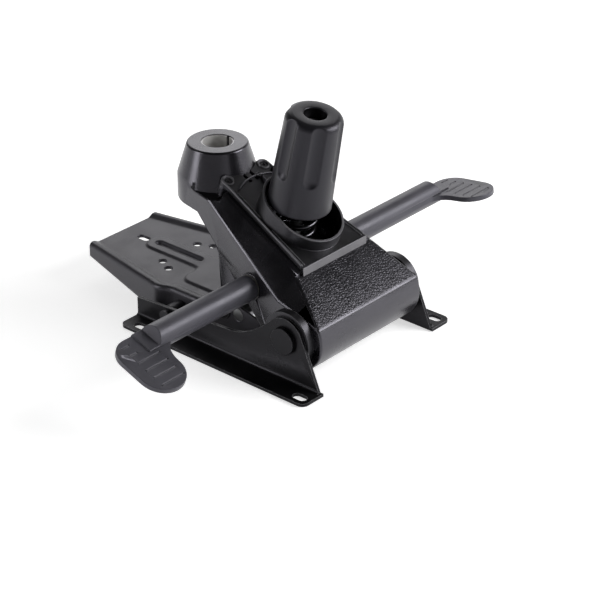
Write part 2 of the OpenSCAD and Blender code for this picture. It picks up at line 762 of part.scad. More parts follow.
module spring_seat() color([0.5, 0.5, 0.5]) {
    on_knob() translate([0, 0, pad_top_s]) difference() {
        cylinder(d = well_d - 1, h = spring_seat_t);
        translate([0, 0, -1]) cylinder(d = spigot_d, h = spring_seat_t + 2);
    }
}
module rocker_pin() color([0.6, 0.6, 0.6]) {
    head = rocker_in + rocker_t + passing;
    cross_rod(rocker_pivot, rocker_pin_d, rib_in, head);
    cross_rod(rocker_pivot, rocker_pin_d + 6, head, head + 2.5);
}

// Seat brackets: wall with a lobe round the front pivot, flange with two bolt slots
module seat_wall() {
    lobe_rear = front_pivot + polar(seat_lobe_r, 48);
    rise_end = [-4, seat_mid_h];
    polygon(concat([[-seat_front + 2, 0]], arc(front_pivot, seat_lobe_r, 158, 48),
        curve(lobe_rear, [-26, seat_mid_h + 3], rise_end), [[seat_rear, seat_rear_h],
        [seat_rear, 0]]));
}
module seat_flange() {
    r = seat_corner_r;
    polygon(concat([[wall_in, -seat_front]],
        arc([flange_out - r, -seat_front + r], r, -90, 0, 8),
        arc([flange_out - r, seat_rear - r], r, 0, 90, 8), [[wall_in, seat_rear]]));
}
module seat_bracket() {
    difference() {
        union() {
            between(wall_in, wall_out) seat_wall();
            linear_extrude(seat_sheet) seat_flange();
            translate([0, seat_rear, 0]) rotate([90, 0, 0]) linear_extrude(seat_rear + seat_front - 3)
                polygon(concat([[wall_out - 1, seat_sheet - 1]],
                    arc([wall_out + seat_bend_r, seat_sheet + seat_bend_r], seat_bend_r, 270, 180, 8)));
        }
        cross_rod(front_pivot, front_shaft_d, 0, far);
        for (e = [-1, 1]) translate([seat_bolt_x / 2, e * seat_bolt_y / 2, -1])
            slot_hole(seat_slot_w, seat_slot_l, seat_sheet + 2);
        translate([0, link_y + 0.6, link_z]) rotate([0, 90, 0])
            slot_hole(link_d + 2 * link_play, link_d + 2 * link_play + link_slot_travel, far);
    }
}
module seat_bracket_right() color([0.1, 0.1, 0.11]) seat_bracket();
module seat_bracket_left() color([0.1, 0.1, 0.11]) mirror([1, 0, 0]) seat_bracket();
module front_pivot_shaft() color([0.6, 0.6, 0.6])
    cross_rod(front_pivot, front_shaft_d, -wall_out, wall_out);
module pivot_cap() cross_rod(front_pivot, pivot_cap_d, wall_out, wall_out + pivot_cap_t);
module pivot_cap_right() color([0.2, 0.2, 0.21]) pivot_cap();
module pivot_cap_left() color([0.2, 0.2, 0.21]) mirror([1, 0, 0]) pivot_cap();
module pivot_spacer()
    cross_ring(front_pivot, pivot_spacer_d, front_shaft_d, nose_half + passing, wall_in);
module pivot_spacer_right() color([0.5, 0.5, 0.5]) pivot_spacer();
module pivot_spacer_left() color([0.5, 0.5, 0.5]) mirror([1, 0, 0]) pivot_spacer();

// Back bracket: plate with raised edges and two arms that reach past the back pivot
module arm_side() {
    top = back_z + back_ridge_h - 0.5;
    polygon(concat([[back_rear, back_z], [back_rear, back_z - back_rear_h],
        [back_shoulder + 26, back_low_z], [arm_low_y, back_low_z]],
        arc(arm_nose, arm_nose_r, 250, 120, 12), arc(back_pivot, lug_r + 1, 110, 60, 8),
        [[back_front + 8, top], [back_shoulder, top]]));
}
module arm_plan() {
    t = back_sheet;
    polygon([[arm_in, -far], [arm_out, -far], [arm_out, back_step], [wide_half, back_shoulder],
        [rear_half, back_rear], [rear_half - t, back_rear], [wide_half - t, back_shoulder],
        [arm_in, back_step]]);
}
module edge_ridge() {
    section = [[0, -1], [0, 0], [back_ridge_w * 0.35, back_ridge_h],
        [back_ridge_w * 0.8, back_ridge_h], [back_ridge_w, 0], [back_ridge_w, -1]];
    lean = atan2(wide_half - rear_half, back_rear - back_shoulder);
    run = norm([wide_half - rear_half, back_rear - back_shoulder]);
    overrun = 15;
    step_mid = (back_step + back_shoulder) / 2;
    translate([arm_out - back_ridge_w, step_mid, back_z]) rotate([90, 0, 0])
        linear_extrude(step_mid - back_front) polygon(section);
    intersection() {
        translate([wide_half - back_ridge_w, back_shoulder, back_z]) rotate([90, 0, 180 + lean])
            mirror([1, 0, 0]) translate([0, 0, -overrun]) linear_extrude(run + 2 * overrun)
                polygon(section);
        linear_extrude(far) polygon([[0, back_step], [arm_out, back_step], [wide_half, back_shoulder],
            [rear_half, back_rear], [0, back_rear]]);
    }
}
// Pressed field: a shallow step in front of the holes with a tongue round the channel
module back_field() {
    half = back_field_w / 2;
    tongue = back_tongue_w / 2;
    corner = [half - back_field_r, back_field_y - back_field_r];
    linear_extrude(back_field_h + 1) polygon(concat([[-half, back_front], [half, back_front]],
        arc(corner, back_field_r, 0, 90, 8), [[tongue, back_field_y]],
        arc([0, back_tongue_y], tongue, 0, 180, 16), [[-tongue, back_field_y]],
        arc([-corner[0], corner[1]], back_field_r, 90, 180, 8)));
}
module back_channel(wall, depth) {
    translate([0, back_channel_y, back_z + back_field_h - depth])
        slot_hole(back_channel_w + 2 * wall, back_channel_l + 2 * wall, depth);
}
module back_bracket() color([0.31, 0.31, 0.32]) {
    difference() {
        union() {
            translate([0, 0, back_z - back_sheet]) linear_extrude(back_sheet)
                polygon([[-arm_in, back_front], [arm_in, back_front], [arm_in, back_step],
                    [wide_half - back_sheet, back_shoulder], [rear_half - 1, back_rear],
                    [1 - rear_half, back_rear], [back_sheet - wide_half, back_shoulder],
                    [-arm_in, back_step]]);
            both_sides() intersection() {
                between(0, far) arm_side();
                translate([0, 0, -1]) linear_extrude(far) arm_plan();
            }
            both_sides() edge_ridge();
            translate([0, 0, back_z - 1]) back_field();
            back_channel(back_sheet, back_channel_h + back_sheet);
        }
        translate([0, 0, 1]) back_channel(0, back_channel_h + 1);
        cross_rod(back_pivot, back_shaft_d, -far, far);
        cross_rod(cross_bar, cross_bar_d, -far, far);
        cross_rod(link_place, link_d, -far, far);
        for (s = [-1, 1]) {
            translate([s * back_hole_near / 2, back_hole_near_y, 0]) cylinder(d = back_hole_d, h = far);
            translate([s * back_hole_wide / 2, back_hole_wide_y, 0]) cylinder(d = back_hole_d, h = far);
        }
        translate([0, back_rear - back_slot_in, 0]) slot_hole(back_hole_d, back_slot_l, far);
    }
}
module back_pivot_shaft() color([0.6, 0.6, 0.6])
    cross_rod(back_pivot, back_shaft_d, -arm_out - shaft_proud, arm_out + shaft_proud);
module back_pivot_rings() color([0.3, 0.3, 0.3])
    both_sides() cross_ring(back_pivot, back_shaft_d + 2 * shaft_proud, back_shaft_d, arm_out,
        arm_out + shaft_proud / 2);
module link_pins() color([0.5, 0.5, 0.5]) {
    head_x = wall_out + passing;
    both_sides() {
        cross_rod(link_place, link_d, arm_in - link_nut_h - 0.5, head_x + 1);
        cross_rod(link_place, link_nut_af, head_x, head_x + link_head_h);
    }
}
module link_spacers() color([0.45, 0.45, 0.46])
    both_sides() cross_ring(link_place, link_spacer_d, link_d, arm_out, wall_in - passing);
module link_nuts() color([0.6, 0.6, 0.6]) {
    both_sides() difference() {
        translate([arm_in - link_nut_h, link_y, link_z]) rotate([0, 90, 0])
            cylinder(d = link_nut_af / cos(30), h = link_nut_h, $fn = 6);
        cross_rod(link_place, link_d, 0, far);
    }
}
module cross_bar() color([0.55, 0.55, 0.55])
    cross_rod(cross_bar, cross_bar_d, -arm_out, arm_out);
// Comb with a gap for the blade at each locked position of the back
module lock_comb() color([0.45, 0.45, 0.46]) {
    gap_w = blade_nose_w + 2 * passing;
    face = slide_angle + 180;
    hub_wall = 4;
    end_angle = 8.5;
    root = 0.7;
    mirror([1, 0, 0]) difference() {
        between(blade_in, blade_out) {
            translate(back_pivot) circle(d = back_shaft_d + 2 * hub_wall);
            polygon(concat([back_pivot],
                arc(back_pivot, comb_r, face - 2 * comb_step - end_angle, face + end_angle)));
        }
        cross_rod(back_pivot, back_shaft_d, 0, far);
        for (i = [0:2]) translate([0, back_pivot_y, back_pivot_z])
            rotate([face - i * comb_step, 0, 0])
                translate([0, comb_r - blade_bite - root, -gap_w / 2]) cube([far, far, gap_w]);
    }
}

// Tension bolt with its eye round the cross bar, spring cap, washer, knob and nut
module tension_bolt() color([0.6, 0.6, 0.6]) {
    difference() {
        union() {
            on_knob() translate([0, 0, cross_bar_s]) cylinder(d = bolt_d, h = nut_top_s + 3 - cross_bar_s);
            cross_rod(cross_bar, bolt_eye_d, -bolt_eye_w / 2, bolt_eye_w / 2);
        }
        cross_rod(cross_bar, cross_bar_d + 2 * link_play, -far, far);
    }
}
module on_axis_ring(d, bore, s, h) {
    on_knob() translate([0, 0, s]) difference() {
        cylinder(d = d, h = h);
        translate([0, 0, -1]) cylinder(d = bore, h = h + 2);
    }
}
module spring_cap() color([0.45, 0.45, 0.46]) {
    bore = bolt_d + 2 * running;
    spigot_l = 4;
    on_axis_ring(spring_cap_d, bore, cap_bottom_s, spring_cap_t);
    on_axis_ring(spigot_d, bore, cap_bottom_s - spigot_l, spigot_l + 0.5);
}
module thrust_washer() color([0.7, 0.68, 0.6])
    on_axis_ring(spring_cap_d - 6, bolt_d + 1, cap_bottom_s + spring_cap_t, washer_t - passing);
module tension_knob() color([0.2, 0.2, 0.21]) {
    round_r = 5;
    taper = (knob_base_d - knob_top_d) / 2 / knob_l;
    flute_lean = atan(taper);
    on_knob() difference() {
        rotate_extrude() polygon(concat([[0, 0], [knob_base_d / 2 - 1.5, 0], [knob_base_d / 2, 1.5]],
            arc([knob_top_d / 2 - round_r, knob_l - round_r], round_r, 0, 90, 8), [[0, knob_l]]));
        translate([0, 0, -1]) cylinder(d = knob_bore_d, h = knob_bore_l + 1);
        translate([0, 0, nut_top_s]) cylinder(d = knob_hole_d, h = far);
        cylinder(d = nut_af / cos(30), h = nut_top_s, $fn = 6);
        for (i = [0:flute_count - 1]) rotate(360 * i / flute_count + flute_turn)
            translate([knob_top_d / 2 - flute_depth + flute_d / 2, 0, knob_l])
                rotate([0, 180 - flute_lean, 0]) {
                    translate([0, 0, -20]) cylinder(d = flute_d, h = flute_l + 20);
                    translate([0, 0, flute_l]) sphere(d = flute_d);
                }
    }
}
module knob_nut() color([0.65, 0.65, 0.62]) {
    on_knob() translate([0, 0, knob_bore_l]) difference() {
        cylinder(d = nut_af / cos(30), h = nut_h, $fn = 6);
        translate([0, 0, -1]) cylinder(d = bolt_d + 2 * running, h = nut_h + 2);
    }
}

// Levers, drawn on the right and mirrored for the left
module lever_rod() cross_rod(lever_axis, rod_d, rod_in, handle_start + rod_reach);
module lever_clip() cross_ring(lever_axis, rod_d + 6, rod_d, rib_in - passing - clip_t, rib_in - passing);
// Paddle outline: a wide round front, a smaller round at the outer rear and a hollow neck
module paddle_outline(end) {
    front_r = paddle_w / 2;
    rear_r = 0.85 * front_r;
    edge = handle_d / 2 - 0.7;
    neck_x = end - 1.2 * handle_d;
    front_c = [end + paddle_out, edge - paddle_l + front_r];
    rear_c = [front_c[0] + front_r - rear_r, edge - rear_r];
    inner = front_c - [front_r, 0];
    polygon(concat(arc(rear_c, rear_r, 90, 0, 12), arc(front_c, front_r, 0, -180, 24),
        curve(inner, [inner[0], -0.65 * handle_d], [neck_x, -edge]), [[neck_x, edge]]));
}
// Handle: a tube that ends in a ledge, with the paddle just below the ledge
module lever_handle(lean, end) {
    ledge_l = handle_d / 2;
    ledge_z = handle_d / 10;
    paddle_top = ledge_z - 1.4;
    grip_d = 3;
    grip_pitch = 0.15 * paddle_l;
    grip_start = 1.6 * grip_pitch;
    grip_end = end + paddle_out + paddle_w / 4;
    difference() {
        translate([0, -lever_y, lever_z]) rotate([lean, 0, 0]) difference() {
            union() {
                difference() {
                    translate([handle_start, 0, 0]) rotate([0, 90, 0])
                        cylinder(d = handle_d, h = end - handle_start);
                    rotate([90, 0, 0]) linear_extrude(2 * handle_d, center = true)
                        polygon([[end - ledge_l, ledge_z], [end + 1, ledge_z], [end + 1, handle_d],
                            [end - 1.6 * ledge_l - ledge_z, handle_d]]);
                }
                translate([0, 0, paddle_top - paddle_t]) linear_extrude(paddle_t) paddle_outline(end);
            }
            for (i = [-2:3]) {
                grip_in = i < 0 ? end + 0.8 * ledge_l : end - 0.7 * ledge_l;
                translate([grip_in, -grip_start - i * grip_pitch, paddle_top + 0.35 * grip_d])
                    rotate([0, 90, 0]) cylinder(d = grip_d, h = grip_end - grip_in);
            }
        }
        lever_rod();
    }
}
module height_lever_rod() color([0.6, 0.6, 0.6]) lever_rod();
module height_lever_handle() color([0.24, 0.24, 0.25]) lever_handle(-height_rise, height_handle_end);
module height_lever_clip() color([0.3, 0.3, 0.3]) lever_clip();
module height_lever_finger() color([0.5, 0.5, 0.5]) {
    tip_r = 3;
    tip = [-lever_y - finger_l, rocker_front_z + passing + tip_r];
    difference() {
        union() {
            cross_rod(lever_axis, finger_hub_d, finger_in, finger_in + finger_w);
            between(finger_in, finger_in + finger_w) {
                polygon([lever_axis + [0, 7], tip + polar(tip_r, 110), tip + polar(tip_r, -75),
                    lever_axis + [-4, -7]]);
                translate(tip) circle(r = tip_r);
            }
        }
        cross_rod(lever_axis, rod_d, 0, far);
    }
}
// Rocker: its front end lies under the finger, it dips under the rod and ends in the valve tab
module valve_rocker() color([0.5, 0.5, 0.5]) {
    tab = rocker_tab_z;
    rod_under = lever_z - finger_hub_d / 2 - 1;
    front = -lever_y - finger_l;
    difference() {
        union() {
            between(rocker_in, rocker_in + rocker_t) {
                polygon([[front - 6, rocker_front_z - 8], [front - 6, rocker_front_z],
                    [front + 4, rocker_front_z], [front + 6, rod_under], [-lever_y + 8, rod_under],
                    rocker_pivot + [-10, 4], rocker_pivot + [4, 9], [column_y - 20, tab - 5],
                    [column_y - 6, tab], [column_y + 7, tab], [column_y + 7, tab - rocker_t],
                    [column_y - 22, tab - 12], rocker_pivot + [8, -7], [-lever_y + 10, rod_under - 8],
                    [front, rod_under - 8]]);
                translate(rocker_pivot) circle(r = 10);
            }
            translate([-8, column_y - 6, tab - rocker_t]) cube([rocker_in + 9, 13, rocker_t]);
        }
        cross_rod(rocker_pivot, rocker_pin_d + 2 * running, 0, far);
    }
}
module lock_lever_rod() color([0.6, 0.6, 0.6]) mirror([1, 0, 0]) lever_rod();
module lock_lever_handle() color([0.24, 0.24, 0.25])
    mirror([1, 0, 0]) lever_handle(lock_droop, lock_handle_end);
module lock_lever_clip() color([0.3, 0.3, 0.3]) mirror([1, 0, 0]) lever_clip();
module lock_lever_crank() color([0.5, 0.5, 0.5]) {
    pin = lever_axis + polar(crank_r, lock_mid_angle + lock_turn / 2);
    side = polar(5, lock_mid_angle + lock_turn / 2 + 90);
    mirror([1, 0, 0]) difference() {
        union() {
            cross_rod(lever_axis, rod_d + 8, crank_in, crank_in + crank_t);
            between(crank_in, crank_in + crank_t) {
                polygon([lever_axis + side, pin + side, pin - side, lever_axis - side]);
                translate(pin) circle(r = 5);
            }
            cross_rod(pin, crank_pin_d, blade_in, crank_in + 1);
        }
        cross_rod(lever_axis, rod_d, 0, far);
    }
}
// Blade: a strip with a cross slot for the crank pin and a narrow nose for the comb
module lock_blade() color([0.55, 0.55, 0.55]) {
    slot_w = crank_pin_d + 2 * passing;
    rear = -crank_half - crank_pin_d / 2 - 3;
    shoulder = blade_tip - blade_bite - 2;
    translate([-blade_out, 0, 0]) on_slide() difference() {
        union() {
            translate([0, rear, -blade_w / 2]) cube([blade_t, shoulder - rear, blade_w]);
            translate([0, rear, -blade_nose_w / 2]) cube([blade_t, blade_tip - rear, blade_nose_w]);
        }
        translate([-1, -crank_half - slot_w / 2, -blade_w / 2 + 1.5])
            cube([blade_t + 2, slot_w, blade_w - 3]);
    }
}

housing();
column_sleeve();
mechanism_cover();
cover_screws();
front_pivot_bushes();
back_pivot_bushes();
lever_bushes();
spring_seat();
main_spring();
rocker_pin();
seat_bracket_left();
seat_bracket_right();
front_pivot_shaft();
pivot_cap_left();
pivot_cap_right();
pivot_spacer_left();
pivot_spacer_right();
back_bracket();
back_pivot_shaft();
back_pivot_rings();
link_pins();
link_spacers();
link_nuts();
cross_bar();
lock_comb();
tension_bolt();
spring_cap();
thrust_washer();
tension_knob();
knob_nut();
height_lever_rod();
height_lever_handle();
height_lever_finger();
height_lever_clip();
valve_rocker();
lock_lever_rod();
lock_lever_handle();
lock_lever_crank();
lock_lever_clip();
lock_blade();
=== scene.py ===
import json
import math

import bmesh
import bpy
import numpy as np
from mathutils import Matrix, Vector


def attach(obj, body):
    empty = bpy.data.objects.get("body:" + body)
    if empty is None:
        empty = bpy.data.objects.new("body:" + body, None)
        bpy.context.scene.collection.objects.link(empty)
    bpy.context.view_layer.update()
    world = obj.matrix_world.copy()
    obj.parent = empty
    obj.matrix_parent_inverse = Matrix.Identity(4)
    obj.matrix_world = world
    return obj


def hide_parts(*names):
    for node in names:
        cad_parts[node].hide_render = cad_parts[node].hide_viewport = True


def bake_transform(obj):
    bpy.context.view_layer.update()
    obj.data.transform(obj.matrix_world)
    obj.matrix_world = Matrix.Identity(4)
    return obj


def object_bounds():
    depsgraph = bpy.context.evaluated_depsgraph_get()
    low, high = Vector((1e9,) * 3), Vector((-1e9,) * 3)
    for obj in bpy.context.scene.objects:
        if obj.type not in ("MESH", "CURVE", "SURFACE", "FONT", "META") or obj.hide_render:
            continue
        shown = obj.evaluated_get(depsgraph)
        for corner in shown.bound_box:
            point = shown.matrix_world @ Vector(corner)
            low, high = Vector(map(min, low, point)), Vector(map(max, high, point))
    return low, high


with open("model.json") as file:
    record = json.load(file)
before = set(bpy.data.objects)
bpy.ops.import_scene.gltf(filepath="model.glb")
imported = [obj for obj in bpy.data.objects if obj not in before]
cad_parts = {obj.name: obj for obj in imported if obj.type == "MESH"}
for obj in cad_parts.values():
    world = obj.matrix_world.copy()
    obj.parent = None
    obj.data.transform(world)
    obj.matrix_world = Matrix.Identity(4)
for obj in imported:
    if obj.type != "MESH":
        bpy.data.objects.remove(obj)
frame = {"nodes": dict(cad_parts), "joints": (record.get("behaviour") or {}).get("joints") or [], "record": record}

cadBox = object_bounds()
joints = {joint["name"]: joint for joint in frame["joints"]}
bpy.context.scene.view_settings.view_transform = "Standard"
print("frame loaded:", len(frame["nodes"]), "nodes")

# Camera: a long lens about two metres away, looking down on the front left corner
viewLook = {
    "place": (-1.3142, -1.1589, 0.9695),
    "right": (0.6567, -0.7542, 0.0),
    "up": (0.3575, 0.3113, 0.8805),
    "lens": 128.49,
    "sensor": 36.0,
}


def makeCamera(look):
    right, up = np.array(look["right"]), np.array(look["up"])
    turn = np.eye(4)
    turn[:3, 0], turn[:3, 1], turn[:3, 2] = right, up, np.cross(right, up)
    turn[:3, 3] = look["place"]
    data = bpy.data.cameras.new("view")
    data.lens, data.sensor_width = look["lens"], look["sensor"]
    camera = bpy.data.objects.new("view", data)
    camera.matrix_world = Matrix(turn.tolist())
    bpy.context.scene.collection.objects.link(camera)
    bpy.context.scene.camera = camera


makeCamera(viewLook)


# Shader helpers: a node with its settings, and a group with named sockets
def node(tree, kind, props=None, values=None):
    made = tree.nodes.new("ShaderNode" + kind)
    for key, value in (props or {}).items():
        setattr(made, key, value)
    for key, value in (values or {}).items():
        if isinstance(value, bpy.types.NodeSocket):
            tree.links.new(value, made.inputs[key])
        else:
            made.inputs[key].default_value = value
    return made


def maths(tree, operation, first, second=0.0):
    return node(tree, "Math", {"operation": operation}, {0: first, 1: second}).outputs[0]


def mapped(tree, value, low, high, newLow=0.0, newHigh=1.0):
    return node(tree, "MapRange", {"interpolation_type": "SMOOTHSTEP"},
                {0: value, 1: low, 2: high, 3: newLow, 4: newHigh}).outputs[0]


def startGroup(name, inputs, outputs):
    group = bpy.data.node_groups.new(name, "ShaderNodeTree")
    for label, kind, value in inputs:
        socket = group.interface.new_socket(label, in_out="INPUT", socket_type="NodeSocket" + kind)
        if value is not None:
            socket.default_value = value
    for label in outputs:
        group.interface.new_socket(label, in_out="OUTPUT", socket_type="NodeSocketFloat")
    return group, group.nodes.new("NodeGroupInput").outputs, group.nodes.new("NodeGroupOutput").inputs


# Moulded leather grain: raised pebbles between narrow valleys, drawn a little out of line by noise
pebbleLook = {"wanderScale": 0.7, "wanderReach": 0.45, "valley": 0.32}


def pebbleGroup(look):
    group, given, out = startGroup("pebbleGrain", [("Vector", "Vector", None), ("Size", "Float", 0.0016)],
                                   ["Height"])
    scale = maths(group, "DIVIDE", 1.0, given["Size"])
    wander = node(group, "TexNoise", {}, {"Vector": given["Vector"], "Detail": 1.0,
                                          "Scale": maths(group, "MULTIPLY", scale, look["wanderScale"])})
    offset = node(group, "VectorMath", {"operation": "SCALE"}, {0: wander.outputs["Color"]})
    group.links.new(maths(group, "MULTIPLY", given["Size"], look["wanderReach"]), offset.inputs["Scale"])
    place = node(group, "VectorMath", {"operation": "ADD"}, {0: given["Vector"], 1: offset.outputs[0]})
    cells = node(group, "TexVoronoi", {"feature": "DISTANCE_TO_EDGE"},
                 {"Vector": place.outputs[0], "Scale": scale})
    group.links.new(mapped(group, cells.outputs["Distance"], 0.0, look["valley"]), out["Height"])
    return group


# Coat: fine orange peel, and slow clouds of tone over a few centimetres
coatLook = {"layers": (("Height", "Size", 2.0), ("Cloud", "Cloud Size", 4.0)), "ends": (0.25, 0.75)}


def coatGroup(look):
    group, given, out = startGroup("coatPeel", [("Vector", "Vector", None), ("Size", "Float", 0.0008),
                                                ("Cloud Size", "Float", 0.03)], ["Height", "Cloud"])
    for label, size, detail in look["layers"]:
        noise = node(group, "TexNoise", {}, {"Vector": given["Vector"], "Detail": detail,
                                             "Scale": maths(group, "DIVIDE", 1.0, given[size])})
        group.links.new(mapped(group, noise.outputs[0], *look["ends"]), out[label])
    return group


# Edge wear and painted highlight: lighter where a rounded normal leaves the true one, on hollow edges as well as
# outer ones, broken up by noise. Partly worn paint, partly a painted highlight along the edges
wearAndHighlightLook = {"samples": 4, "edge": (0.01, 0.2), "noiseScale": 160.0, "broken": (0.3, 0.65, 0.35, 1.0)}


def wearAndHighlightGroup(look):
    group, given, out = startGroup("edgeWearAndHighlight", [("Vector", "Vector", None), ("Radius", "Float", 0.001),
                                                ("Amount", "Float", 0.5)], ["Mask"])
    rounded = node(group, "Bevel", {"samples": look["samples"]}, {"Radius": given["Radius"]})
    true = node(group, "NewGeometry")
    same = node(group, "VectorMath", {"operation": "DOT_PRODUCT"},
                {0: rounded.outputs[0], 1: true.outputs["Normal"]})
    edge = mapped(group, maths(group, "SUBTRACT", 1.0, same.outputs["Value"]), *look["edge"])
    noise = node(group, "TexNoise", {},
                 {"Vector": given["Vector"], "Scale": look["noiseScale"], "Detail": 3.0})
    wornAndHighlight = maths(group, "MULTIPLY", edge, mapped(group, noise.outputs[0], *look["broken"]))
    group.links.new(maths(group, "MULTIPLY", wornAndHighlight, given["Amount"]), out["Mask"])
    return group


# Dust: on faces that look up, in soft patches
dustLook = {"noiseScale": 45.0, "facing": (0.2, 1.0), "patch": (0.35, 0.7)}


def dustGroup(look):
    group, given, out = startGroup("dustFilm", [("Vector", "Vector", None), ("Amount", "Float", 0.1)],
                                   ["Mask"])
    face = node(group, "SeparateXYZ", {}, {0: node(group, "NewGeometry").outputs["Normal"]})
    noise = node(group, "TexNoise", {},
                 {"Vector": given["Vector"], "Scale": look["noiseScale"], "Detail": 5.0})
    patch = maths(group, "MULTIPLY", mapped(group, face.outputs["Z"], *look["facing"]),
                  mapped(group, noise.outputs[0], *look["patch"]))
    group.links.new(maths(group, "MULTIPLY", patch, given["Amount"]), out["Mask"])
    return group


# Turned metal: rings of fine tool marks round an axis along Z
turnedLook = {"stretch": (0.06, 0.06, 1.0)}


def turnedGroup(look):
    group, given, out = startGroup("turnedMarks", [("Vector", "Vector", None), ("Pitch", "Float", 0.0005)],
                                   ["Height"])
    stretch = node(group, "VectorMath", {"operation": "MULTIPLY"}, {0: given["Vector"], 1: look["stretch"]})
    noise = node(group, "TexNoise", {}, {"Vector": stretch.outputs[0], "Detail": 3.0,
                                         "Scale": maths(group, "DIVIDE", 1.0, given["Pitch"])})
    group.links.new(noise.outputs[0], out["Height"])
    return group


groups = {"pebble": pebbleGroup(pebbleLook), "coat": coatGroup(coatLook), "wearAndHighlight": wearAndHighlightGroup(wearAndHighlightLook),
          "dust": dustGroup(dustLook), "turned": turnedGroup(turnedLook)}


def placed(tree, name, values):
    made = tree.nodes.new("ShaderNodeGroup")
    made.node_tree = groups[name]
    for key, value in values.items():
        if isinstance(value, bpy.types.NodeSocket):
            tree.links.new(value, made.inputs[key])
        else:
            made.inputs[key].default_value = value
    return made.outputs


def tint(tree, factor, first, second):
    mix = node(tree, "Mix", {"data_type": "RGBA"}, {0: factor, 6: first, 7: second})
    return mix.outputs[2]
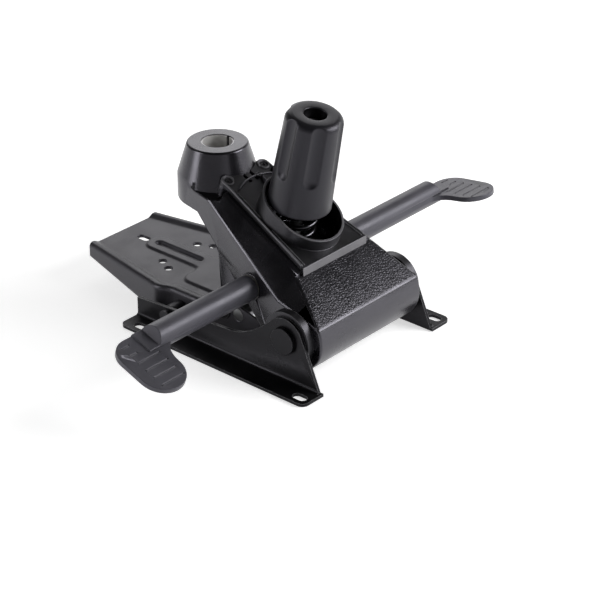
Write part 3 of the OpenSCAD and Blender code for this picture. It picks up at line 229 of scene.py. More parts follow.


# Finishes: colour and its darker cloud, roughness range, specular level, grain (kind, size, depth), edge wear
# and painted edge highlight (radius, amount) with its colour, and dust. A finish that isn't one of the record's
# slots names its slot
finishes = {
    "cast_black": {
        "colour": (0.0082, 0.0078, 0.0094), "cloud": (0.0056, 0.0053, 0.0064), "rough": (0.2, 0.28),
        "specular": 0.85, "grain": ("coat", 0.0011, 0.00004), "wearAndHighlight": (0.0012, 0.45), "dust": 0.02,
        "wornAndHighlight": (0.09, 0.09, 0.094),
    },
    "cast_grain": {
        "slot": "cast_black", "colour": (0.0072, 0.007, 0.0082), "cloud": (0.005, 0.0048, 0.0058),
        "rough": (0.27, 0.34), "specular": 0.6, "grain": ("pebble", 0.0025, 0.00016), "wearAndHighlight": (0.0012, 0.0),
        "dust": 0.0, "wornAndHighlight": (0.09, 0.09, 0.094),
    },
    # Painted light: the casting's black made lighter on the nose's front face, where it catches the light
    "cast_face_painted_light": {
        "slot": "cast_black", "colour": (0.024, 0.0232, 0.0268), "cloud": (0.017, 0.0165, 0.019),
        "rough": (0.27, 0.36), "specular": 0.85, "grain": ("coat", 0.0011, 0.00004), "wearAndHighlight": (0.0012, 0.6),
        "dust": 0.0, "wornAndHighlight": (0.13, 0.13, 0.136),
    },
    "grained_plastic": {
        "colour": (0.0085, 0.0085, 0.009), "cloud": (0.006, 0.006, 0.0064), "rough": (0.3, 0.4),
        "specular": 0.6, "grain": ("coat", 0.0011, 0.00004), "wearAndHighlight": (0.0008, 0.7), "dust": 0.03,
        "wornAndHighlight": (0.12, 0.12, 0.125),
    },
    # Painted shade: near black with little reflection, put inside the cover's collar and the knob's hole, where
    # there is only shade
    "painted_shade_black": {
        "colour": (0.0015, 0.0015, 0.0016), "cloud": (0.001, 0.001, 0.001), "rough": (0.5, 0.6),
        "specular": 0.15, "grain": ("coat", 0.0009, 0.00002), "wearAndHighlight": (0.0006, 0.0), "dust": 0.0,
        "wornAndHighlight": (0.01, 0.01, 0.01),
    },
    # Painted highlight: the cover's black plastic made grey on its side beads, screw rings and collar rim, where
    # light catches them
    "bead_painted_highlight": {
        "slot": "grained_plastic", "colour": (0.13, 0.128, 0.136), "cloud": (0.095, 0.093, 0.1),
        "rough": (0.32, 0.42), "specular": 0.5, "grain": ("coat", 0.0009, 0.00004), "wearAndHighlight": (0.0008, 0.5),
        "dust": 0.03, "wornAndHighlight": (0.16, 0.158, 0.165),
    },
    # Painted light: the cover's black plastic made light grey on its front lip, where the lip catches the light
    "lip_painted_light": {
        "slot": "grained_plastic", "colour": (0.2, 0.196, 0.206), "cloud": (0.15, 0.147, 0.154),
        "rough": (0.32, 0.42), "specular": 0.5, "grain": ("coat", 0.0009, 0.00004), "wearAndHighlight": (0.0008, 0.5),
        "dust": 0.0, "wornAndHighlight": (0.34, 0.335, 0.345),
    },
    "black_paint": {
        "colour": (0.0068, 0.0066, 0.0074), "cloud": (0.0046, 0.0045, 0.0052), "rough": (0.27, 0.35),
        "specular": 0.2, "grain": ("coat", 0.0009, 0.00003), "wearAndHighlight": (0.0012, 0.9), "dust": 0.02,
        "wornAndHighlight": (0.26, 0.26, 0.27),
    },
    "grey_paint": {
        "colour": (0.035, 0.0335, 0.0385), "cloud": (0.028, 0.0266, 0.031), "rough": (0.34, 0.42),
        "specular": 0.5, "grain": ("coat", 0.0009, 0.00003), "wearAndHighlight": (0.0012, 0.45), "dust": 0.04,
        "wornAndHighlight": (0.14, 0.138, 0.145),
    },
    "knob_plastic": {
        "colour": (0.0112, 0.011, 0.0138), "cloud": (0.0088, 0.0086, 0.0106), "rough": (0.31, 0.38),
        "specular": 0.42, "grain": ("coat", 0.0005, 0.00002), "wearAndHighlight": (0.0008, 0.25), "dust": 0.02,
        "wornAndHighlight": (0.06, 0.06, 0.066),
    },
    "handle_plastic": {
        "colour": (0.078, 0.0765, 0.09), "cloud": (0.062, 0.061, 0.071), "rough": (0.34, 0.43),
        "specular": 0.5, "grain": ("coat", 0.0007, 0.00003), "wearAndHighlight": (0.0010, 0.5), "dust": 0.03,
        "wornAndHighlight": (0.13, 0.128, 0.13),
    },
    "spring_black": {
        "colour": (0.004, 0.004, 0.004), "cloud": (0.003, 0.003, 0.003), "rough": (0.12, 0.18),
        "specular": 0.8, "grain": ("coat", 0.0016, 0.00002), "wearAndHighlight": (0.0006, 0.2), "dust": 0.0,
        "wornAndHighlight": (0.10, 0.10, 0.10),
    },
    "bush_plastic": {
        "colour": (0.16, 0.158, 0.15), "cloud": (0.12, 0.118, 0.11), "rough": (0.36, 0.46),
        "specular": 0.45, "grain": ("coat", 0.0008, 0.00002), "wearAndHighlight": (0.0006, 0.2), "dust": 0.03,
        "wornAndHighlight": (0.3, 0.3, 0.29),
    },
    "dark_steel": {
        "colour": (0.0085, 0.0085, 0.009), "cloud": (0.006, 0.006, 0.0064), "rough": (0.32, 0.42),
        "specular": 0.5, "grain": ("coat", 0.0007, 0.00002), "wearAndHighlight": (0.0007, 0.7), "dust": 0.02,
        "wornAndHighlight": (0.2, 0.2, 0.205),
    },
    "zinc_steel": {
        "colour": (0.42, 0.42, 0.43), "cloud": (0.33, 0.33, 0.335), "rough": (0.28, 0.4), "specular": 0.5,
        "grain": ("coat", 0.0006, 0.00002), "wearAndHighlight": (0.0006, 0.3), "dust": 0.04, "wornAndHighlight": (0.6, 0.6, 0.6),
        "metal": 1.0,
    },
    "bright_steel": {
        "colour": (0.66, 0.65, 0.635), "cloud": (0.52, 0.51, 0.5), "rough": (0.3, 0.42), "specular": 0.5,
        "grain": ("turned", 0.0005, 0.00002), "wearAndHighlight": (0.0006, 0.2), "dust": 0.0, "wornAndHighlight": (0.7, 0.69, 0.68),
        "metal": 0.4,
    },
}


# What every finish shares
sharedLook = {"bump": 0.8, "dustColour": (0.3, 0.29, 0.28, 1.0), "specularTint": (0.91, 0.885, 1.0, 1.0),
              "grainInput": {"pebble": "Size", "turned": "Pitch", "coat": "Size"}}


def makeFinish(name, look):
    material = bpy.data.materials.new(name)
    material.use_nodes = True
    tree = material.node_tree
    shader = tree.nodes["Principled BSDF"]
    place = node(tree, "TexCoord").outputs["Object"]
    kind, size, depth = look["grain"]
    coat = placed(tree, "coat", {"Vector": place})
    radius, amount = look["wearAndHighlight"]
    wornAndHighlight = placed(tree, "wearAndHighlight", {"Vector": place, "Radius": radius, "Amount": amount})["Mask"]
    dust = placed(tree, "dust", {"Vector": place, "Amount": look["dust"]})["Mask"]
    relief = placed(tree, kind, {"Vector": place, sharedLook["grainInput"][kind]: size})["Height"]
    colour = tint(tree, coat["Cloud"], look["cloud"] + (1.0,), look["colour"] + (1.0,))
    # Edges take the worn colour, which is partly wear and partly a painted highlight
    colour = tint(tree, wornAndHighlight, colour, look["wornAndHighlight"] + (1.0,))
    colour = tint(tree, dust, colour, sharedLook["dustColour"])
    tree.links.new(colour, shader.inputs["Base Color"])
    tree.links.new(mapped(tree, coat["Cloud"], 0.0, 1.0, *look["rough"]), shader.inputs["Roughness"])
    bump = node(tree, "Bump", {}, {"Strength": sharedLook["bump"], "Distance": depth, "Height": relief})
    tree.links.new(bump.outputs[0], shader.inputs["Normal"])
    shader.inputs["Specular IOR Level"].default_value = look["specular"]
    shader.inputs["Specular Tint"].default_value = sharedLook["specularTint"]
    shader.inputs["Metallic"].default_value = look.get("metal", 0.0)
    return material


materials = {name: makeFinish(name, look) for name, look in finishes.items()}
print("finishes made:", len(materials))


# Pieces: a mesh from arrays, put into the scene on a body, or on none
def addPiece(name, verts, faces, body, finish, replaced=()):
    mesh = bpy.data.meshes.new(name)
    mesh.from_pydata(np.asarray(verts).reshape(-1, 3).tolist(), [], [list(face) for face in faces])
    mesh.shade_smooth()
    mesh.materials.append(materials[finish])
    piece = bpy.data.objects.new(name, mesh)
    bpy.context.scene.collection.objects.link(piece)
    if body:
        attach(piece, body)
    if replaced:
        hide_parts(*replaced)
    return piece


# Faces of a grid of rows by columns; a wrapped direction joins its last line to its first
def gridFaces(rows, columns, wrapRows=False, wrapColumns=False):
    i, j = np.meshgrid(np.arange(rows if wrapRows else rows - 1),
                       np.arange(columns if wrapColumns else columns - 1), indexing="ij")
    a, b = i * columns + j, i * columns + (j + 1) % columns
    c, d = ((i + 1) % rows) * columns + (j + 1) % columns, ((i + 1) % rows) * columns + j
    return np.stack([a, b, c, d], -1).reshape(-1, 4)


# Faces of a tube of rings, with a flat face on both ends
def tubeFaces(rows, columns):
    ends = [list(range(columns))[::-1], list(range((rows - 1) * columns, rows * columns))]
    return gridFaces(rows, columns, wrapColumns=True).tolist() + ends


def nodePoints(name):
    mesh = frame["nodes"][name].data
    points = np.empty(len(mesh.vertices) * 3)
    mesh.vertices.foreach_get("co", points)
    return points.reshape(-1, 3)


# Points given along an axis, around it and out from it
class Axis:
    def __init__(self, origin, direction):
        self.origin, self.along = np.array(origin, float), np.array(direction, float)
        self.along /= np.linalg.norm(self.along)
        self.side = np.array((1.0, 0.0, 0.0))
        self.up = np.cross(self.along, self.side)

    def places(self, radius, angle, along):
        return (self.origin + np.multiply.outer(along, self.along)
                + np.multiply.outer(radius * np.cos(angle), self.side)
                + np.multiply.outer(radius * np.sin(angle), self.up))

    def measure(self, points):
        apart = points - self.origin
        along = apart @ self.along
        return along, np.linalg.norm(apart - np.multiply.outer(along, self.along), axis=1)


# Arc of a section from one angle to another, in degrees
def arc(centre, radius, start, end, count=8):
    turn = np.radians(np.linspace(start, end, count))
    return np.stack([centre[0] + radius * np.cos(turn), centre[1] + radius * np.sin(turn)], 1)


# Least of two values with a soft corner between them
def softLeast(first, second, corner):
    return -corner * np.logaddexp(-first / corner, -second / corner)


# Merged copy of a CAD node with its edges rounded, and other finishes where a patch's test finds its faces.
# With weighted edges, many-sided faces are cut into triangles first, so that the rounding doesn't crease them
copyLook = {"merge": 2e-5, "flat": 0.5}


def softCopy(name, body, finish, width, segments=2, limit=30.0, patches=(), weights=None, trim=None,
             clamp=False):
    mesh = frame["nodes"][name].data.copy()
    work = bmesh.new()
    work.from_mesh(mesh)
    bmesh.ops.remove_doubles(work, verts=work.verts, dist=copyLook["merge"])
    bmesh.ops.dissolve_limit(work, angle_limit=math.radians(copyLook["flat"]), verts=work.verts,
                             edges=work.edges)
    if trim:
        trim(work)
    if weights:
        bmesh.ops.triangulate(work, faces=[face for face in work.faces if len(face.verts) > 4])
    for face in work.faces:
        face.smooth = True
    for edge in work.edges:
        edge.smooth = edge.calc_face_angle(0.0) < math.radians(limit)
    if weights:
        share = work.edges.layers.float.new("bevel_weight_edge")
        for edge in work.edges:
            if not edge.smooth and len(edge.link_faces) == 2:
                edge[share] = weights(edge)
    work.to_mesh(mesh)
    work.free()
    mesh.materials.clear()
    mesh.materials.append(materials[finish])
    facing, centre = np.empty((2, len(mesh.polygons) * 3))
    mesh.polygons.foreach_get("normal", facing)
    mesh.polygons.foreach_get("center", centre)
    chosen = np.zeros(len(mesh.polygons), np.int32)
    for count, (other, test) in enumerate(patches, 1):
        mesh.materials.append(materials[other])
        chosen[test(facing.reshape(-1, 3), centre.reshape(-1, 3))] = count
    mesh.polygons.foreach_set("material_index", chosen)
    piece = bpy.data.objects.new(name + "_dressed", mesh)
    bpy.context.scene.collection.objects.link(piece)
    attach(piece, body)
    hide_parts(name)
    bevel = piece.modifiers.new("roundedEdges", "BEVEL")
    bevel.width, bevel.segments = width, segments
    bevel.limit_method, bevel.angle_limit = ("WEIGHT" if weights else "ANGLE"), math.radians(limit)
    bevel.use_clamp_overlap, bevel.harden_normals = clamp, True
    bevel.miter_outer = "MITER_ARC"
    return piece


# Casting: its outer edges get the full radius, edges round small bosses less, and edges inside it none
castingEdges = {"axis": ((0.0, -0.06, 0.06), (0.0, 0.0863, 0.12)), "small": 0.3, "outward": 0.004,
                "spots": (((-0.0092, 0.0681), 0.021), ((0.026, 0.034), 0.02), ((-0.0665, 0.042), 0.02)),
                "ears": ((0.0492, 0.1365), 0.016)}


def castingWeight(edge):
    if not edge.is_convex:
        return 0.0
    first, last = (np.array(end) for end in castingEdges["axis"])
    middle = np.array((edge.verts[0].co + edge.verts[1].co) / 2)
    share = np.clip((middle[1] - first[1]) / (last[1] - first[1]), 0.0, 1.0)
    away = middle - (first + share * (last - first))
    outward = all(np.dot(face.normal, away) > castingEdges["outward"] for face in edge.link_faces)
    spots = castingEdges["spots"] + (castingEdges["ears"],)
    near = any(math.dist(middle[1:], place) < reach for place, reach in spots)
    return castingEdges["small"] if near else float(outward)


# Tests for patches: the casting's front slope and nose, the cover's lip, and its collar's rim and inside.
# The nose and the lip get painted light, the rim a painted highlight, and the collar's inside painted shade
patchLook = {"slope": (0.0, -0.598, 0.802), "lip": (0.0, -1.0, 0.025), "rim": (0.0, -0.4907, 0.8713),
             "cover": (0.0, -0.3891, 0.9212), "near": 0.985, "exact": 0.998, "noseFacing": -0.7,
             "noseEnd": -0.07, "collarMiddle": (0.0, -0.0128, 0.114), "collarReach": 0.045, "inward": -0.02,
             "upright": 0.1}


def onSlope(facing, centre):
    return facing @ patchLook["slope"] > patchLook["near"]


def onNose(facing, centre):
    return (facing[:, 1] < patchLook["noseFacing"]) & (centre[:, 1] < patchLook["noseEnd"])


def onLip(facing, centre):
    return facing @ patchLook["lip"] > patchLook["near"]


def onRim(facing, centre):
    return facing @ patchLook["rim"] > patchLook["exact"]


def inCollar(facing, centre):
    away = centre - patchLook["collarMiddle"]
    inward = np.einsum("ij,ij->i", away, facing) < patchLook["inward"]
    upright = np.abs(facing @ patchLook["cover"]) < patchLook["upright"]
    return inward & upright & (np.abs(away[:, 1]) < patchLook["collarReach"])


# Back bracket's arms: what lies ahead of the pressed sheet and outside its plate
armsLook = {"end": 0.056, "inside": 0.0589}


def armsOnly(work):
    inside = armsLook["inside"]
    cuts = (((0, armsLook["end"], 0), (0, 1, 0), True), ((inside, 0, 0), (1, 0, 0), False),
            ((-inside, 0, 0), (1, 0, 0), False))
    for place, normal, clear in cuts:
        bmesh.ops.bisect_plane(work, geom=work.verts[:] + work.edges[:] + work.faces[:], plane_co=place,
                               plane_no=normal, clear_outer=clear)
    plate = [face for face in work.faces if abs(face.calc_center_median().x) < inside]
    bmesh.ops.delete(work, geom=plate, context="FACES")


# Body, finish, edge radius and, for the casting, a lower limit so that the nose keeps its crease
softLook = {
    "housing": {"body": "housing", "finish": "cast_black", "width": 0.002, "segments": 4, "limit": 20.0,
                "patches": (("cast_grain", onSlope), ("cast_face_painted_light", onNose)), "weights": castingWeight},
    "mechanism_cover": {"body": "housing", "finish": "grained_plastic", "width": 0.0006,
                        "patches": (("lip_painted_light", onLip), ("bead_painted_highlight", onRim),
                                    ("painted_shade_black", inCollar))},
    "seat_bracket_left": {"body": "seat_frame", "finish": "black_paint", "width": 0.0006, "clamp": True},
    "seat_bracket_right": {"body": "seat_frame", "finish": "black_paint", "width": 0.0006, "clamp": True},
    "back_bracket": {"body": "back_frame", "finish": "grey_paint", "width": 0.0012, "segments": 3,
                     "trim": armsOnly},
    "height_lever_handle": {"body": "height_lever", "finish": "handle_plastic", "width": 0.0006},
    "lock_lever_handle": {"body": "lock_lever", "finish": "handle_plastic", "width": 0.0006},
    "pivot_cap_left": {"body": "seat_frame", "finish": "black_paint", "width": 0.0008, "segments": 3},
    "pivot_cap_right": {"body": "seat_frame", "finish": "black_paint", "width": 0.0008, "segments": 3},
}
for nodeName, look in softLook.items():
    softCopy(nodeName, **look)
print("rounded copies:", len(softLook))

# Back bracket: a pressed sheet, drawn as its outer surface. Its half width steps out behind the arms and then
# narrows. Its height is the plate, plus a rail along each edge, plus a pressed field with a tongue, less a
# channel. Grid points near a hole's rim are moved onto it
bracketLook = {
    "front": 0.048, "rear": 0.216, "armHalf": 0.062, "rearHalf": 0.047, "step": 0.093, "shoulder": 0.104,
    "beyond": 0.05, "softPlan": 0.006, "planSamples": 25, "tuck": 0.0003, "tuckEnds": (0.002, 0.004),
    "top": 0.029, "bend": 0.004, "rail": (0.0055, 0.0135, 0.003), "field": (0.040, 0.101, 0.012),
    "tongue": (0.1665, 0.0125), "fieldBlend": 0.003, "fieldRise": (0.0018, 0.0019),
    "channel": (0.1135, 0.1665, 0.0034), "channelDrop": (0.003, 0.0017),
    "low": ((0.130, 0.0065), (0.216, 0.018)), "holes": ((0.024, 0.139), (0.031, 0.1245)),
    "slot": (0.1848, 0.1913), "holeRadius": 0.00425, "snap": 0.00056, "probe": 1e-6,
    "rows": 170, "columns": 62, "bendColumns": 7, "wallColumns": 10, "sheet": 0.003,
}


def smooth(value, low, high):
    share = np.clip((value - low) / (high - low), 0.0, 1.0)
    return share * share * (3 - 2 * share)


# Distance from a rounded bar that lies along y, from one end to the other
def fromBar(x, y, start, end, radius):
    return np.hypot(x, y - np.clip(y, start, end)) - radius


def bracketHeight(x, y, half, look):
    start, end, rise = look["rail"]
    rail = rise * (1 - smooth(half - x, start, end))
    wide, rear, corner = look["field"]
    field = np.hypot(np.maximum(x - wide + corner, 0), np.maximum(y - rear + corner, 0)) - corner
    field = softLeast(field, fromBar(x, y, 0.0, *look["tongue"]), look["fieldBlend"])
    lift, soft = look["fieldRise"]
    drop, edge = look["channelDrop"]
    channel = fromBar(x, y, *look["channel"])
    return (look["top"] + rail + lift * (1 - smooth(field, -soft, soft))
            - drop * (1 - smooth(channel, -edge, edge)))


# Distances from the rims of the holes: round ones, and a slot on the middle line
def bracketHoles(look):
    def rim(at):
        return lambda x, y: np.hypot(x - at[0], y - at[1]) - look["holeRadius"]

    return [rim(at) for at in look["holes"]] + [lambda x, y: fromBar(x, y, *look["slot"], look["holeRadius"])]


def makeBracket(look):
    wide = np.abs(nodePoints("back_bracket")[:, 0]).max()
    y = np.linspace(look["front"], look["rear"], look["rows"])
    taper = (wide - look["rearHalf"]) / (look["rear"] - look["shoulder"])
    plan = ((0.0, look["armHalf"]), (look["step"], look["armHalf"]), (look["shoulder"], wide),
            (look["rear"] + look["beyond"], look["rearHalf"] - taper * look["beyond"]))
    around = np.linspace(-look["softPlan"], look["softPlan"], look["planSamples"])
    half = np.mean([np.interp(y + part, *np.transpose(plan)) for part in around], axis=0)
    before, after = look["tuckEnds"]
    half -= look["tuck"] * (1 - smooth(y, armsLook["end"] - before, armsLook["end"] + after))
    half, radius = half[:, None], look["bend"]
    # top, bend and wall of the right half, from the middle outwards and down
    x = (half - radius) * np.linspace(0.0, 1.0, look["columns"])
    across = y[:, None] + 0 * x
    gone = np.zeros(x.shape, bool)
    small = look["probe"]
    for hole in bracketHoles(look):
        apart = hole(x, across)
        slopeX = (hole(x + small, across) - apart) / small
        slopeY = (hole(x, across + small) - apart) / small
        near = np.abs(apart) < look["snap"]
        gone |= apart <= -look["snap"]
        x = np.where(near, x - apart * slopeX, x)
        across = np.where(near, across - apart * slopeY, across)
    x[:, 0] = 0.0
    height = bracketHeight(x, across, half, look)
    turn = np.radians(np.linspace(90, 0, look["bendColumns"]))[None, 1:]
    down = np.linspace(0.0, 1.0, look["wallColumns"])[None, 1:]
    edge = height[:, -1:] - radius
    low = np.interp(y, *np.transpose(look["low"]))[:, None]
    x = np.hstack([x, half - radius + radius * np.cos(turn), half + 0 * down])
    z = np.hstack([height, edge + radius * np.sin(turn), edge + (low - edge) * down])
    across = np.hstack([across, y[:, None] + 0 * turn, y[:, None] + 0 * down])
    gone = np.hstack([gone, np.zeros((len(y), x.shape[1] - gone.shape[1]), bool)])
    x = np.hstack([-x[:, :0:-1], x])
    across, z, gone = (np.hstack([part[:, :0:-1], part]) for part in (across, z, gone))
    quads = gridFaces(*x.shape)
    lost = gone.ravel()[quads]
    corners = quads[lost.sum(1) == 1]
    kept = quads[~lost.any(1)].tolist() + corners[~gone.ravel()[corners]].reshape(-1, 3).tolist()
    used = np.unique(np.concatenate([np.ravel(face) for face in kept]))
    renamed = np.zeros(x.size, int)
    renamed[used] = np.arange(len(used))
    points = np.stack([x, across, z], -1).reshape(-1, 3)[used]
    faces = [renamed[face].tolist() for face in kept]
    piece = addPiece("back_sheet", points, faces, "back_frame", "grey_paint", ["back_bracket"])
    sheet = piece.modifiers.new("sheet", "SOLIDIFY")
    sheet.thickness, sheet.offset = look["sheet"], -1.0


makeBracket(bracketLook)
print("back bracket pressed")

# Cover details lie on the cover's own plane: u across it, v up its slope, w out of it
coverLook = {
    "ridge": (-0.0554, 0.096), "slope": 22.9, "frontHalf": 0.044, "rearHalf": 0.030, "lipBack": 0.0015,
    "screw": (0.024, 0.1155), "earRadius": 0.007, "earTurn": (-8, 188, 40),
    "beadEnds": {"outer": (0.0005, 0.107, 60), "inner": (0.0005, 0.100, 60)},
    "outerBead": (0.0011, 0.0019, 0.0012), "innerBead": (0.0040, 0.0013, 0.0009),
    "screwRing": (0.0049, 0.0012, 0.0011), "sunk": 0.0004, "thinning": 0.6, "tip": 0.02, "ringSteps": 48,
    "webEdge": ((0.0245, 0.1015), (0.0138, 0.106), (0.0, 0.108)), "webBead": (0.0022, 0.0020), "webSteps": 60,
    "struts": (((0.0098, 0.105), (0.0075, 0.096), (0.0065, 0.084)),
               ((0.0262, 0.108), (0.0245, 0.097), (0.0215, 0.080))),
    "strutBead": (0.0022, 0.0045), "smallRing": ((0.0073, 0.1071), 0.0021, 0.0011, 0.0024),
    "smallRingSteps": 32,
}


def onCover(u, v, w):
    lean = math.radians(coverLook["slope"])
    y = coverLook["ridge"][0] + v * math.cos(lean) - w * math.sin(lean)
    z = coverLook["ridge"][1] + v * math.sin(lean) + w * math.cos(lean)
    return np.stack(np.broadcast_arrays(u, y, z), -1)


# Bead: a half round section carried along a path on the cover, thinning to nothing at both ends
def beadPoints(path, width, height, closed=False, sides=10):
    path = np.asarray(path, float)
    run = np.roll(path, -1, 0) - np.roll(path, 1, 0) if closed else np.gradient(path, axis=0)
    run /= np.linalg.norm(run, axis=1)[:, None]
    across = np.stack([-run[:, 1], run[:, 0]], 1)
    length = np.concatenate([[0], np.cumsum(np.linalg.norm(np.diff(path, axis=0), axis=1))])
    inside = np.minimum(length, length[-1] - length) / (width * coverLook["thinning"])
    swell = np.ones(len(path)) if closed else np.sqrt(1 - (1 - np.clip(inside, coverLook["tip"], 1)) ** 2)
    turn = np.linspace(0, math.pi, sides)
    offset = np.append(np.cos(turn), [-1.0, 1.0]) * width / 2
    rise = np.append(np.sin(turn) * height, [-coverLook["sunk"]] * 2)
    flat = path[:, None, :] + across[:, None, :] * (offset[None, :] * swell[:, None])[..., None]
    return onCover(flat[..., 0], flat[..., 1], rise[None, :] * swell[:, None])


def makeBead(name, path, width, height, finish, closed=False):
    points = beadPoints(path, width, height, closed)
    rows, columns = points.shape[:2]
    faces = gridFaces(rows, columns, True, True).tolist() if closed else tubeFaces(rows, columns)
    piece = addPiece(name, points, faces, "housing", finish)
    work = bmesh.new()
    work.from_mesh(piece.data)
    bmesh.ops.recalc_face_normals(work, faces=work.faces)
    work.to_mesh(piece.data)
    work.free()


def ringPath(centre, radius, steps):
    return arc(centre, radius, 0, 360, steps + 1)[:-1]


# Smooth line through a few points: each coordinate is a polynomial of the share of the way along
def bent(points, count=24, degree=4):
    points = np.asarray(points, float)
    share = np.linspace(0, 1, len(points))
    fits = [np.polyfit(share, points[:, k], min(len(points) - 1, degree)) for k in (0, 1)]
    return np.stack([np.polyval(fit, np.linspace(0, 1, count)) for fit in fits], 1)


def makeCoverDetails(look):
    screwU, screwV = look["screw"]
    shrink = (look["frontHalf"] - look["rearHalf"]) / (screwV + look["lipBack"])
    for side, label in ((-1, "left"), (1, "right")):
        # Side beads and screw rings take the painted highlight, the cover's plastic made grey
        for kind, ends in look["beadEnds"].items():
            inset, width, height = look[kind + "Bead"]
            v = np.linspace(*ends)
            line = np.stack([look["frontHalf"] - (v + look["lipBack"]) * shrink - inset, v], 1)
            if kind == "outer":
                line = np.concatenate([line, arc(look["screw"], look["earRadius"] - inset, *look["earTurn"])])
            makeBead(f"cover_{kind}_bead_{label}", line * (side, 1), width, height, "bead_painted_highlight")
        radius, width, height = look["screwRing"]
        ring = ringPath((side * screwU, screwV), radius, look["ringSteps"])
        makeBead(f"cover_screw_ring_{label}", ring, width, height, "bead_painted_highlight", closed=True)
    for count, strut in enumerate(look["struts"]):
        makeBead(f"cover_strut_{count}", bent(strut), *look["strutBead"], "grained_plastic")
    half = np.array(look["webEdge"])
    web = np.concatenate([half * (-1, 1), half[-2::-1]])
    makeBead("cover_web_edge", bent(web, look["webSteps"]), *look["webBead"], "grained_plastic")
    centre, radius, width, height = look["smallRing"]
    ring = ringPath(centre, radius, look["smallRingSteps"])
    makeBead("cover_small_ring", ring, width, height, "grained_plastic", closed=True)


makeCoverDetails(coverLook)
print("cover details made")

# Knob: a section turned round its axis, with scooped flutes that run out towards the collar
knobLook = {
    "flutes": 6, "fluteRadius": 0.0115, "fluteDepth": 0.0033, "fluteLength": 0.054, "fluteTurn": 51.0,
    "softEdge": 0.0003, "shoulder": 0.0075, "shoulderTurn": (0, 82, 20), "foot": 0.0015, "boreEdge": 0.0006,
    "holeEdge": 0.0012, "dish": 0.0004, "floorShare": 0.5, "endGap": 1e-4, "wallRows": 118, "around": 360,
    "fluteFrom": 5, "insideRows": 3,
}
knobAxis = Axis(joints["knob_turn"]["pos_m"], [-part for part in joints["knob_turn"]["axis"]])


def makeKnob(look):
    along, out = knobAxis.measure(nodePoints("tension_knob"))
    length, base = along.max(), out.max()
    top = out[along > length - look["shoulder"]].max()
    hole = out[along > length - look["endGap"]].min()
    bore, ceiling = out[along < look["endGap"]].min(), knobAxis.measure(nodePoints("knob_nut"))[0]
    boreTop, holeFloor = ceiling.min(), ceiling.max()
    wall = np.linspace(0.0, 1.0, look["wallRows"] + 2)[1:-1, None]
    section = np.concatenate([
        [(bore, boreTop), (bore, look["boreEdge"]), (bore + look["boreEdge"], 0.0)],
        arc((base - look["foot"], look["foot"]), look["foot"], -90, 0),
        (1 - wall) * (base, look["foot"]) + wall * (top, length - look["shoulder"]),
        arc((top - look["shoulder"], length - look["shoulder"]), look["shoulder"], *look["shoulderTurn"]),
        arc((hole + look["holeEdge"], length - look["dish"] - look["holeEdge"]), look["holeEdge"], 90, 180),
        [(hole, holeFloor), (hole * look["floorShare"], holeFloor)]])
    radius, height = section[:, :1], section[:, 1:]
    turn = np.linspace(0, 2 * math.pi, look["around"], endpoint=False)[None, :]
    # a flute is a rod of fluteRadius that leans into the wall; below its end it is a ball
    step = 2 * math.pi / look["flutes"]
    off = ((turn - math.radians(look["fluteTurn"]) + step / 2) % step) - step / 2
    lean = (base - top) / length
    down = length - height
    rod = top - look["fluteDepth"] + look["fluteRadius"] + np.minimum(down, look["fluteLength"]) * lean
    ball = np.maximum(down - look["fluteLength"], 0.0)
    under = look["fluteRadius"] ** 2 - ball ** 2 - (rod * np.sin(off)) ** 2
    scoop = np.where(under > 0, rod * np.cos(off) - np.sqrt(np.maximum(under, 0)), 1.0)
    outer = (np.arange(len(section)) >= look["fluteFrom"])[:, None]
    radius = np.where(outer, softLeast(radius + 0 * turn, scoop, look["softEdge"]), radius + 0 * turn)
    points = knobAxis.places(radius, turn + 0 * radius, height + 0 * radius)
    faces = gridFaces(*radius.shape, wrapColumns=True)
    piece = addPiece("knob_fluted", points, faces, "knob", "knob_plastic", ["tension_knob"])
    # Painted shade: the rows inside the hole take the near black finish
    piece.data.materials.append(materials["painted_shade_black"])
    rows = len(section) - 1
    inside = np.repeat(np.arange(rows) >= rows - look["insideRows"], look["around"])
    piece.data.polygons.foreach_set("material_index", inside.astype(np.int32))


makeKnob(knobLook)
print("knob made")

# Spring: a round wire on a helix about the knob's axis, in two lengths that meet half way up
springLook = {"curls": 9, "ringsPerCurl": 40, "sides": 20}


def makeSpring(look):
    along, out = knobAxis.measure(nodePoints("main_spring"))
    seat, span = along.min(), along.max() - along.min()
    ringRadius = (out.max() + out.min()) / 2
    wire = (out.max() - out.min()) / 2
    rise = span - 2 * wire
    middle = knobAxis.origin + (seat + span / 2) * knobAxis.along
    low, high = knobAxis.origin + seat * knobAxis.along, knobAxis.origin + (seat + span) * knobAxis.along
    lengths = {"spring_lower": (0.0, 0.5, "housing", "tension_bolt", low, middle),
               "spring_upper": (0.5, 1.0, "tension_bolt", "spring_cap", middle, high)}
    slope = math.atan2(rise / look["curls"], 2 * math.pi * ringRadius)
    around = np.linspace(0, 2 * math.pi, look["sides"], endpoint=False)[None, :]
    for name, (start, end, bodyA, bodyB, first, last) in lengths.items():
        share = np.linspace(start, end, int(look["curls"] * look["ringsPerCurl"] * (end - start)))[:, None]
        turn = 2 * math.pi * look["curls"] * share
        # section of the wire: out from the axis, and square to the wire's own direction
        radius = ringRadius + wire * np.cos(around)
        angle = turn - wire * np.sin(around) * math.sin(slope) / ringRadius
        height = seat + wire + rise * share + wire * np.sin(around) * math.cos(slope)
        points = knobAxis.places(radius + 0 * turn, angle, height)
        piece = addPiece(name, points, tubeFaces(*points.shape[:2]), None, "spring_black", ["main_spring"])
        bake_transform(piece)


makeSpring(springLook)
print("spring made")

# The remaining CAD nodes keep their shape and take the record's finish
slotOf = {part["node"]: part["material_slot"] for part in frame["record"]["subparts"]
          if "material_slot" in part}
for nodeName, cadObject in frame["nodes"].items():
    finish = materials[slotOf.get(nodeName, "zinc_steel")]
    cadObject.data.materials.clear()
    cadObject.data.materials.append(finish)

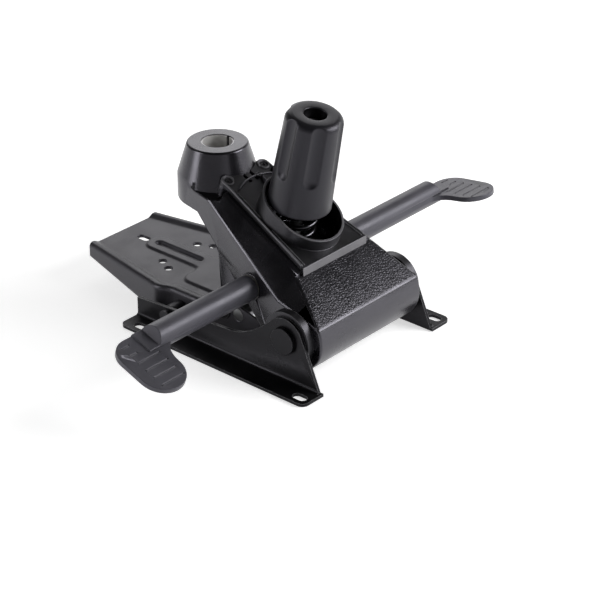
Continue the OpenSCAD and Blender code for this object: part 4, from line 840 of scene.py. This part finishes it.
# Stage: a pale floor, a room that is white low down and dark above, and soft boxes
stageLook = {"floorHalf": 9.0, "floorColour": (0.86, 0.86, 0.86), "floorLift": 0.62, "ceiling": 0.06,
             "wallTop": 0.2, "ceilingStart": 0.5, "brightSide": (0.93, -0.37, 0.0), "darkSide": 0.3,
             "sideBlend": (-0.5, 0.7), "floorGap": 0.0002}
lampLook = {
    "frontRight": {"from": (0.8, -1.05, 0.7), "size": (0.9, 0.7), "power": 17.0},
    "rearRight": {"from": (0.9, 0.9, 0.72), "size": (1.2, 0.8), "power": 4.8},
    "rearLeft": {"from": (-1.15, 0.75, 0.45), "size": (0.5, 0.9), "power": 7.0},
}


def makeStage(look):
    half, level = look["floorHalf"], cadBox[0].z - look["floorGap"]
    mesh = bpy.data.meshes.new("floor")
    corners = [(-half, -half, level), (half, -half, level), (half, half, level), (-half, half, level)]
    mesh.from_pydata(corners, [], [(0, 1, 2, 3)])
    floor = bpy.data.objects.new("floor", mesh)
    bpy.context.scene.collection.objects.link(floor)
    paint = bpy.data.materials.new("paleFloor")
    paint.use_nodes = True
    tree = paint.node_tree
    tree.nodes.clear()
    path = node(tree, "LightPath").outputs
    seen = maths(tree, "MAXIMUM", maths(tree, "MAXIMUM", path["Is Camera Ray"], path["Is Glossy Ray"]),
                 path["Is Transmission Ray"])
    matte = node(tree, "BsdfDiffuse", {}, {"Color": look["floorColour"] + (1.0,)})
    glow = node(tree, "Emission", {}, {"Strength": maths(tree, "MULTIPLY", seen, look["floorLift"])})
    both = node(tree, "AddShader", {}, {0: matte.outputs[0], 1: glow.outputs[0]})
    node(tree, "OutputMaterial", {}, {"Surface": both.outputs[0]})
    mesh.materials.append(paint)
    world = bpy.data.worlds.new("whiteRoom")
    world.use_nodes = True
    tree = world.node_tree
    place = node(tree, "TexCoord").outputs["Generated"]
    direction = node(tree, "SeparateXYZ", {}, {0: place})
    aside = node(tree, "VectorMath", {"operation": "DOT_PRODUCT"}, {0: place, 1: look["brightSide"]})
    wall = mapped(tree, aside.outputs["Value"], *look["sideBlend"], look["darkSide"], 1.0)
    low = mapped(tree, direction.outputs["Z"], look["wallTop"], look["ceilingStart"], 1.0, look["ceiling"])
    tree.links.new(maths(tree, "MULTIPLY", wall, low), tree.nodes["Background"].inputs["Strength"])
    tree.nodes["Background"].inputs["Color"].default_value = (1.0, 1.0, 1.0, 1.0)
    bpy.context.scene.world = world


def makeLamps(looks):
    target = np.array((cadBox[0] + cadBox[1]) / 2)
    for name, look in looks.items():
        data = bpy.data.lights.new(name, "AREA")
        data.shape, data.energy = "RECTANGLE", look["power"]
        data.size, data.size_y = look["size"]
        lamp = bpy.data.objects.new(name, data)
        away = np.array(look["from"])
        back = away / np.linalg.norm(away)
        right = np.cross((0, 0, 1), back)
        right /= np.linalg.norm(right)
        turn = np.eye(4)
        turn[:3, 0], turn[:3, 1], turn[:3, 2] = right, np.cross(back, right), back
        turn[:3, 3] = target + away
        lamp.matrix_world = Matrix(turn.tolist())
        bpy.context.scene.collection.objects.link(lamp)


makeStage(stageLook)
makeLamps(lampLook)
print("stage and lamps made")
